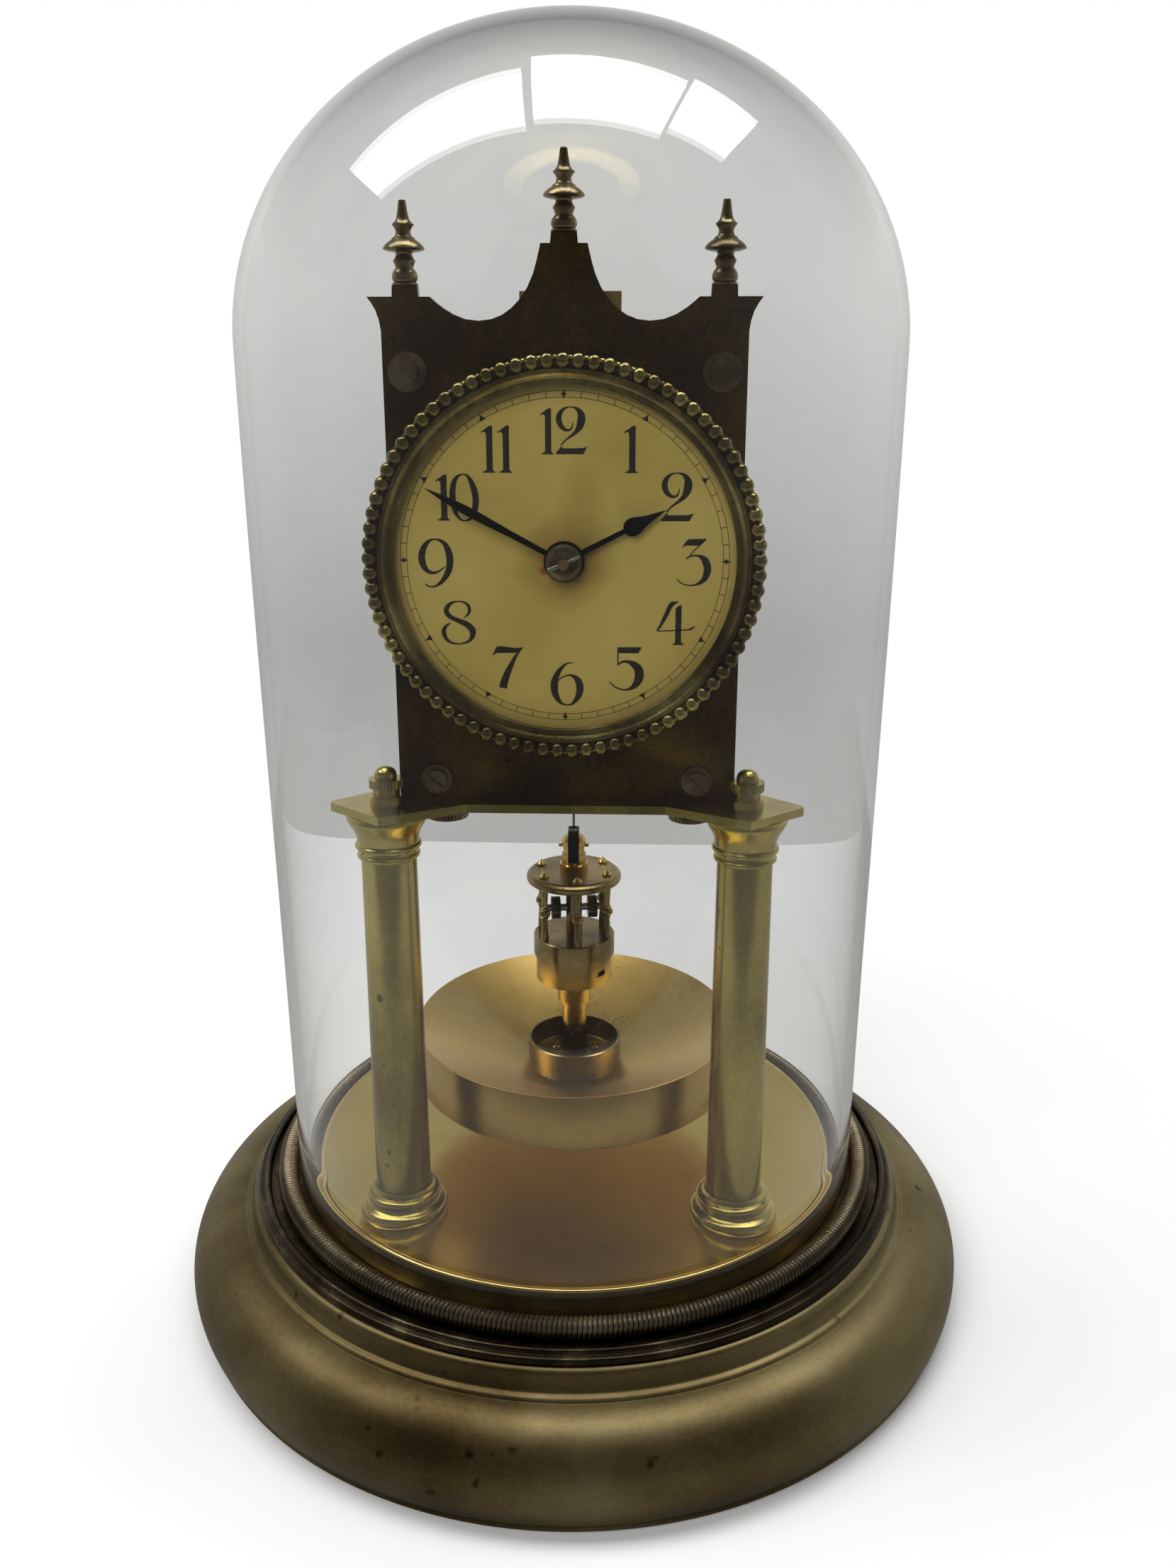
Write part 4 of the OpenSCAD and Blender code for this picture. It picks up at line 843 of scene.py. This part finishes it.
# --- pendulum -----------------------------------------------------------------------------
DISC_LOW, DISC_TOP = low("pendulum_disc").z, high("pendulum_disc").z
DISC_R = high("pendulum_disc").x
HUB_LOW, HUB_TOP = low("pendulum_hub").z, high("pendulum_hub").z
HUB_R = high("pendulum_hub").x
turned_piece("disc_turned", "pendulum",
             [(0, DISC_LOW), (DISC_R - 0.4, DISC_LOW), (DISC_R, DISC_LOW + 0.4), (DISC_R, DISC_TOP - 0.35),
              (DISC_R - 0.1, DISC_TOP - 0.1), (DISC_R - 0.4, DISC_TOP), (HUB_R, HUB_LOW), (0, HUB_LOW)],
             disc_metal, ["pendulum_disc"], "aged_brass", 0.06, 192)
turned_piece("hub_cup", "pendulum",
             [(0, HUB_LOW), (HUB_R, HUB_LOW), (HUB_R, HUB_TOP - 0.2), (HUB_R - 0.3, HUB_TOP),
              (HUB_R - 0.7, HUB_TOP), (HUB_R - 0.75, HUB_LOW + 1.4), (HUB_R - 1.1, HUB_LOW + 1.3),
              (0, HUB_LOW + 1.3)],
             gallery_metal, ["pendulum_hub"], "aged_brass", 0.05, 96)
CAP_LOW, CAP_TOP = low("gallery_top").z, high("gallery_top").z
CAP_R = high("gallery_top").x
turned_piece("gallery_cap", "pendulum",
             [(0, CAP_LOW), (CAP_R - 0.4, CAP_LOW), (CAP_R - 0.1, CAP_LOW + 0.25), (CAP_R, CAP_LOW + 0.6),
              (CAP_R, CAP_LOW + 1.3), (CAP_R - 0.2, CAP_LOW + 1.65), (CAP_R - 0.6, CAP_LOW + 1.85),
              (CAP_R - 0.9, CAP_LOW + 2.0), (CAP_R - 1.1, CAP_TOP), (0, CAP_TOP)],
             gallery_metal, ["gallery_top"], "aged_brass", 0.03, 96)
POSTS, POST_RING, POST_LENGTH, FIRST_POST = 6, 9, 14.4, 38
DRUM_TOP = CAP_LOW - POST_LENGTH
ball_z = (DRUM_TOP + CAP_LOW) / 2
post_ring = arc(0, 0, POST_RING, POST_RING, FIRST_POST, FIRST_POST + 360, POSTS)
post_places = [(x, y, 0) for x, y in post_ring[:POSTS]]
turned_piece("gallery_post_turnings", "pendulum",
             [(0, DRUM_TOP - 1.0), (0.5, DRUM_TOP - 1.0), (0.5, DRUM_TOP), (0.95, DRUM_TOP),
              (1.0, DRUM_TOP + 0.6), (0.85, DRUM_TOP + 3), (0.72, ball_z - 1.7), (0.95, ball_z - 1.5),
              (0.95, ball_z - 1.25)]
             + arc(0, ball_z, 1.5, 1.35, -52, 52, 10)
             + [(0.95, ball_z + 1.25), (0.95, ball_z + 1.5), (0.72, ball_z + 1.7), (0.85, CAP_LOW - 3),
                (1.0, CAP_LOW - 0.6), (0.95, CAP_LOW), (0.5, CAP_LOW), (0.5, CAP_TOP), (0, CAP_TOP)],
             gallery_metal, ["gallery_posts"], "aged_brass", 0.0, 24, post_places)

# --- carried-over CAD nodes ---------------------------------------------------------------
# Node: its material and the width of its bevel.
LOOKS = {
    "base_board": (wood, 0.3), "felt_pad": (felt, 0.3), "tie_rods": (column_metal, 0.0),
    "column_nuts": (column_metal, 0.06), "rod_end_nuts": (steel, 0.2), "platform": (column_metal, 0.15),
    "thumb_screws": (screw_metal, 0.06), "front_plate": (plate_metal, 0.12),
    "back_plate": (plate_metal, 0.12), "movement_pillars": (column_metal, 0.1),
    "plate_screws": (screw_metal, 0.08), "plate_washers": (screw_metal, 0.1),
    "pediment": (plate_metal, 0.12), "dial_plate": (dial_paint, 0.08), "hour_hand": (black_steel, 0.08),
    "minute_hand": (black_steel, 0.08), "taper_pin": (steel, 0.04), "cannon_pinion": (wheel_metal, 0.0),
    "minute_wheel": (wheel_metal, 0.0), "hour_wheel": (wheel_metal, 0.0), "barrel": (wheel_metal, 0.0),
    "mainspring": (black_steel, 0.0), "winding_arbor": (steel, 0.1), "ratchet_wheel": (steel, 0.05),
    "click": (steel, 0.08), "click_spring": (black_steel, 0.05), "back_screws": (black_steel, 0.06),
    "first_wheel": (wheel_metal, 0.0), "second_wheel": (wheel_metal, 0.0),
    "centre_wheel": (wheel_metal, 0.0), "third_wheel": (wheel_metal, 0.0),
    "escape_wheel": (wheel_metal, 0.0), "anchor": (steel, 0.0), "fork": (gallery_metal, 0.06),
    "suspension_bracket": (gilt_metal, 0.15), "top_block": (gallery_metal, 0.08),
    "suspension_spring": (steel, 0.0), "bottom_block": (black_steel, 0.1),
    "pendulum_tube": (gallery_metal, 0.1), "gallery_drum": (gallery_metal, 0.08),
    "pendulum_head": (gilt_metal, 0.06), "regulating_spindle": (steel, 0.05),
    "regulating_weight_left": (weight_metal, 0.06), "regulating_weight_right": (weight_metal, 0.06),
    "pendulum_screws": (gilt_metal, 0.05),
}
# Turned pieces with few facets, which are smoothed over a wider angle.
ROUND = ("gallery_drum", "pendulum_tube", "pendulum_head", "column_nuts", "thumb_screws")
WIDE_ANGLE, PLAIN_ANGLE = 42, 28
for node, (material, bevel) in LOOKS.items():
    piece = NODES[node]
    piece.data.materials.clear()
    piece.data.materials.append(material)
    finish_edges(piece, bevel, angle=WIDE_ANGLE if node in ROUND else PLAIN_ANGLE)


# --- camera, floor and light --------------------------------------------------------------
scene = bpy.context.scene
scene.view_settings.view_transform = "Standard"
camera = bpy.data.objects.new("camera", bpy.data.cameras.new("camera"))
scene.collection.objects.link(camera)
scene.camera = camera
camera.location = Vector((14.6, -321.8, 234.4)) * MM
PITCH, TURN = math.radians(17.67), math.radians(-1.97)
ahead = Vector((math.sin(TURN) * math.cos(PITCH), math.cos(TURN) * math.cos(PITCH), -math.sin(PITCH)))
camera.rotation_mode = "QUATERNION"
camera.rotation_quaternion = ahead.to_track_quat("-Z", "Y")
camera.data.sensor_width = 36
camera.data.lens = 31.63
camera.data.clip_start = 0.01

# The floor runs to either side, towards the camera and back to the table's edge (metres).
TABLE_SIDE, TABLE_FRONT, TABLE_EDGE = 0.6, -0.24, 0.318
FADE_FROM, FADE_TO = 0.11, 0.24


def paint_floor():
    """White paper that melts into the white surround away from the clock; seen through the glass it is grey,
    and in metal it mirrors as a darker grey, painted shade.
    """
    n = Nodes("floor paper")
    path = n.add("ShaderNodeLightPath")
    paper = n.ramp(n.noise(9), [(0.3, (0.90, 0.90, 0.895)), (0.7, (0.93, 0.93, 0.925))])
    # Seen through the glass the paper is grey.
    paper = n.mix(path.outputs["Is Transmission Ray"], paper, (0.74, 0.745, 0.735))
    # Painted shade: seen in metal, the paper is a darker grey, standing in for the dim room in front.
    mirrored = n.math("MINIMUM", path.outputs["Glossy Depth"], 1.0)
    n.put(n.shader.inputs["Base Color"], n.mix(mirrored, paper, (0.36, 0.355, 0.34)))
    n.shader.inputs["Roughness"].default_value = 0.7
    clear = n.add("ShaderNodeBsdfTransparent")
    both = n.add("ShaderNodeMixShader")
    far = n.add("ShaderNodeVectorMath", operation="LENGTH")
    n.link(n.place, far.inputs[0])
    fade = n.add("ShaderNodeMapRange", interpolation_type="SMOOTHSTEP")
    n.link(far.outputs["Value"], fade.inputs[0])
    fade.inputs[1].default_value, fade.inputs[2].default_value = FADE_FROM, FADE_TO
    n.link(n.math("MULTIPLY", fade.outputs[0], path.outputs["Is Camera Ray"]), both.inputs[0])
    n.link(n.shader.outputs[0], both.inputs[1])
    n.link(clear.outputs[0], both.inputs[2])
    n.link(both.outputs[0], n.out.inputs["Surface"])
    return n.material


floor_mesh = bpy.data.meshes.new("floor")
corners = [(-TABLE_SIDE, TABLE_FRONT, 0), (TABLE_SIDE, TABLE_FRONT, 0),
           (TABLE_SIDE, TABLE_EDGE, 0), (-TABLE_SIDE, TABLE_EDGE, 0)]
floor_mesh.from_pydata(corners, [], [(0, 1, 2, 3)])
floor_mesh.materials.append(paint_floor())
floor = bpy.data.objects.new("floor", floor_mesh)
scene.collection.objects.link(floor)

# Three panes of a ceiling window, whose reflection lies across the crown of the dome.
PANE_Z, PANE_GLOW = 1.47, 5.0
PANES = ((-1.39, -0.215, -0.24, 0.36), (-0.175, 0.465, -0.19, 0.49), (0.485, 0.89, -0.10, 0.57))
for i, (x0, x1, y0, y1) in enumerate(PANES):
    data = bpy.data.lights.new(f"ceiling_pane_{i}", "AREA")
    data.shape = "RECTANGLE"
    data.size, data.size_y = x1 - x0, y1 - y0
    data.energy = PANE_GLOW * math.pi * (x1 - x0) * (y1 - y0)
    lamp = bpy.data.objects.new(f"ceiling_pane_{i}", data)
    scene.collection.objects.link(lamp)
    lamp.location = ((x0 + x1) / 2, (y0 + y1) / 2, PANE_Z)

data = bpy.data.lights.new("front_fill", "AREA")
data.size, data.energy = 0.8, 9
fill = bpy.data.objects.new("front_fill", data)
scene.collection.objects.link(fill)
fill.location = (-0.35, -0.95, 0.85)
fill.rotation_mode = "QUATERNION"
fill.rotation_quaternion = (Vector((0, 0, 0.18)) - fill.location).to_track_quat("-Z", "Y")
fill.visible_glossy = fill.visible_transmission = False


# How bright the room is from straight down to straight up, and from the front to the back.
UP_STOPS = [(0.10, 0.9), (0.40, 0.6), (0.52, 0.9), (0.62, 1.0), (0.74, 0.55), (0.85, 0.16)]
BACK_STOPS = [(0.05, 0.20), (0.3, 0.30), (0.5, 0.60), (0.72, 1.0), (1.0, 1.0)]
ROOM_GLOW = 0.73


def paint_world():
    """A pale wall behind, a dim room in front and above; the camera itself sees plain white."""
    world = bpy.data.worlds.new("studio")
    scene.world = world
    world.use_nodes = True
    tree = world.node_tree
    tree.nodes.clear()
    add, link = tree.nodes.new, tree.links.new
    out, room, seen = (add(f"ShaderNode{kind}") for kind in ("OutputWorld", "Background", "Background"))
    switch, path, split = (add(f"ShaderNode{kind}") for kind in ("MixShader", "LightPath", "SeparateXYZ"))
    link(add("ShaderNodeTexCoord").outputs["Generated"], split.inputs[0])
    parts = []
    for axis, stops in ((2, UP_STOPS), (1, BACK_STOPS)):
        span, ramp = add("ShaderNodeMapRange"), add("ShaderNodeValToRGB")
        span.inputs[1].default_value = -1
        link(split.outputs[axis], span.inputs[0])
        link(span.outputs[0], ramp.inputs[0])
        cells = ramp.color_ramp.elements
        while len(cells) < len(stops):
            cells.new(0.5)
        for cell, (at, v) in zip(cells, stops):
            cell.position, cell.color = at, (v, v, v * 0.985, 1)
        parts.append(ramp.outputs[0])
    join = add("ShaderNodeMix")
    join.data_type, join.blend_type = "RGBA", "MULTIPLY"
    join.inputs[0].default_value = 1.0
    link(parts[0], join.inputs[6])
    link(parts[1], join.inputs[7])
    link(join.outputs[2], room.inputs[0])
    room.inputs[1].default_value = ROOM_GLOW
    seen.inputs[0].default_value = (1, 1, 1, 1)
    link(path.outputs["Is Camera Ray"], switch.inputs[0])
    link(room.outputs[0], switch.inputs[1])
    link(seen.outputs[0], switch.inputs[2])
    link(switch.outputs[0], out.inputs[0])


paint_world()
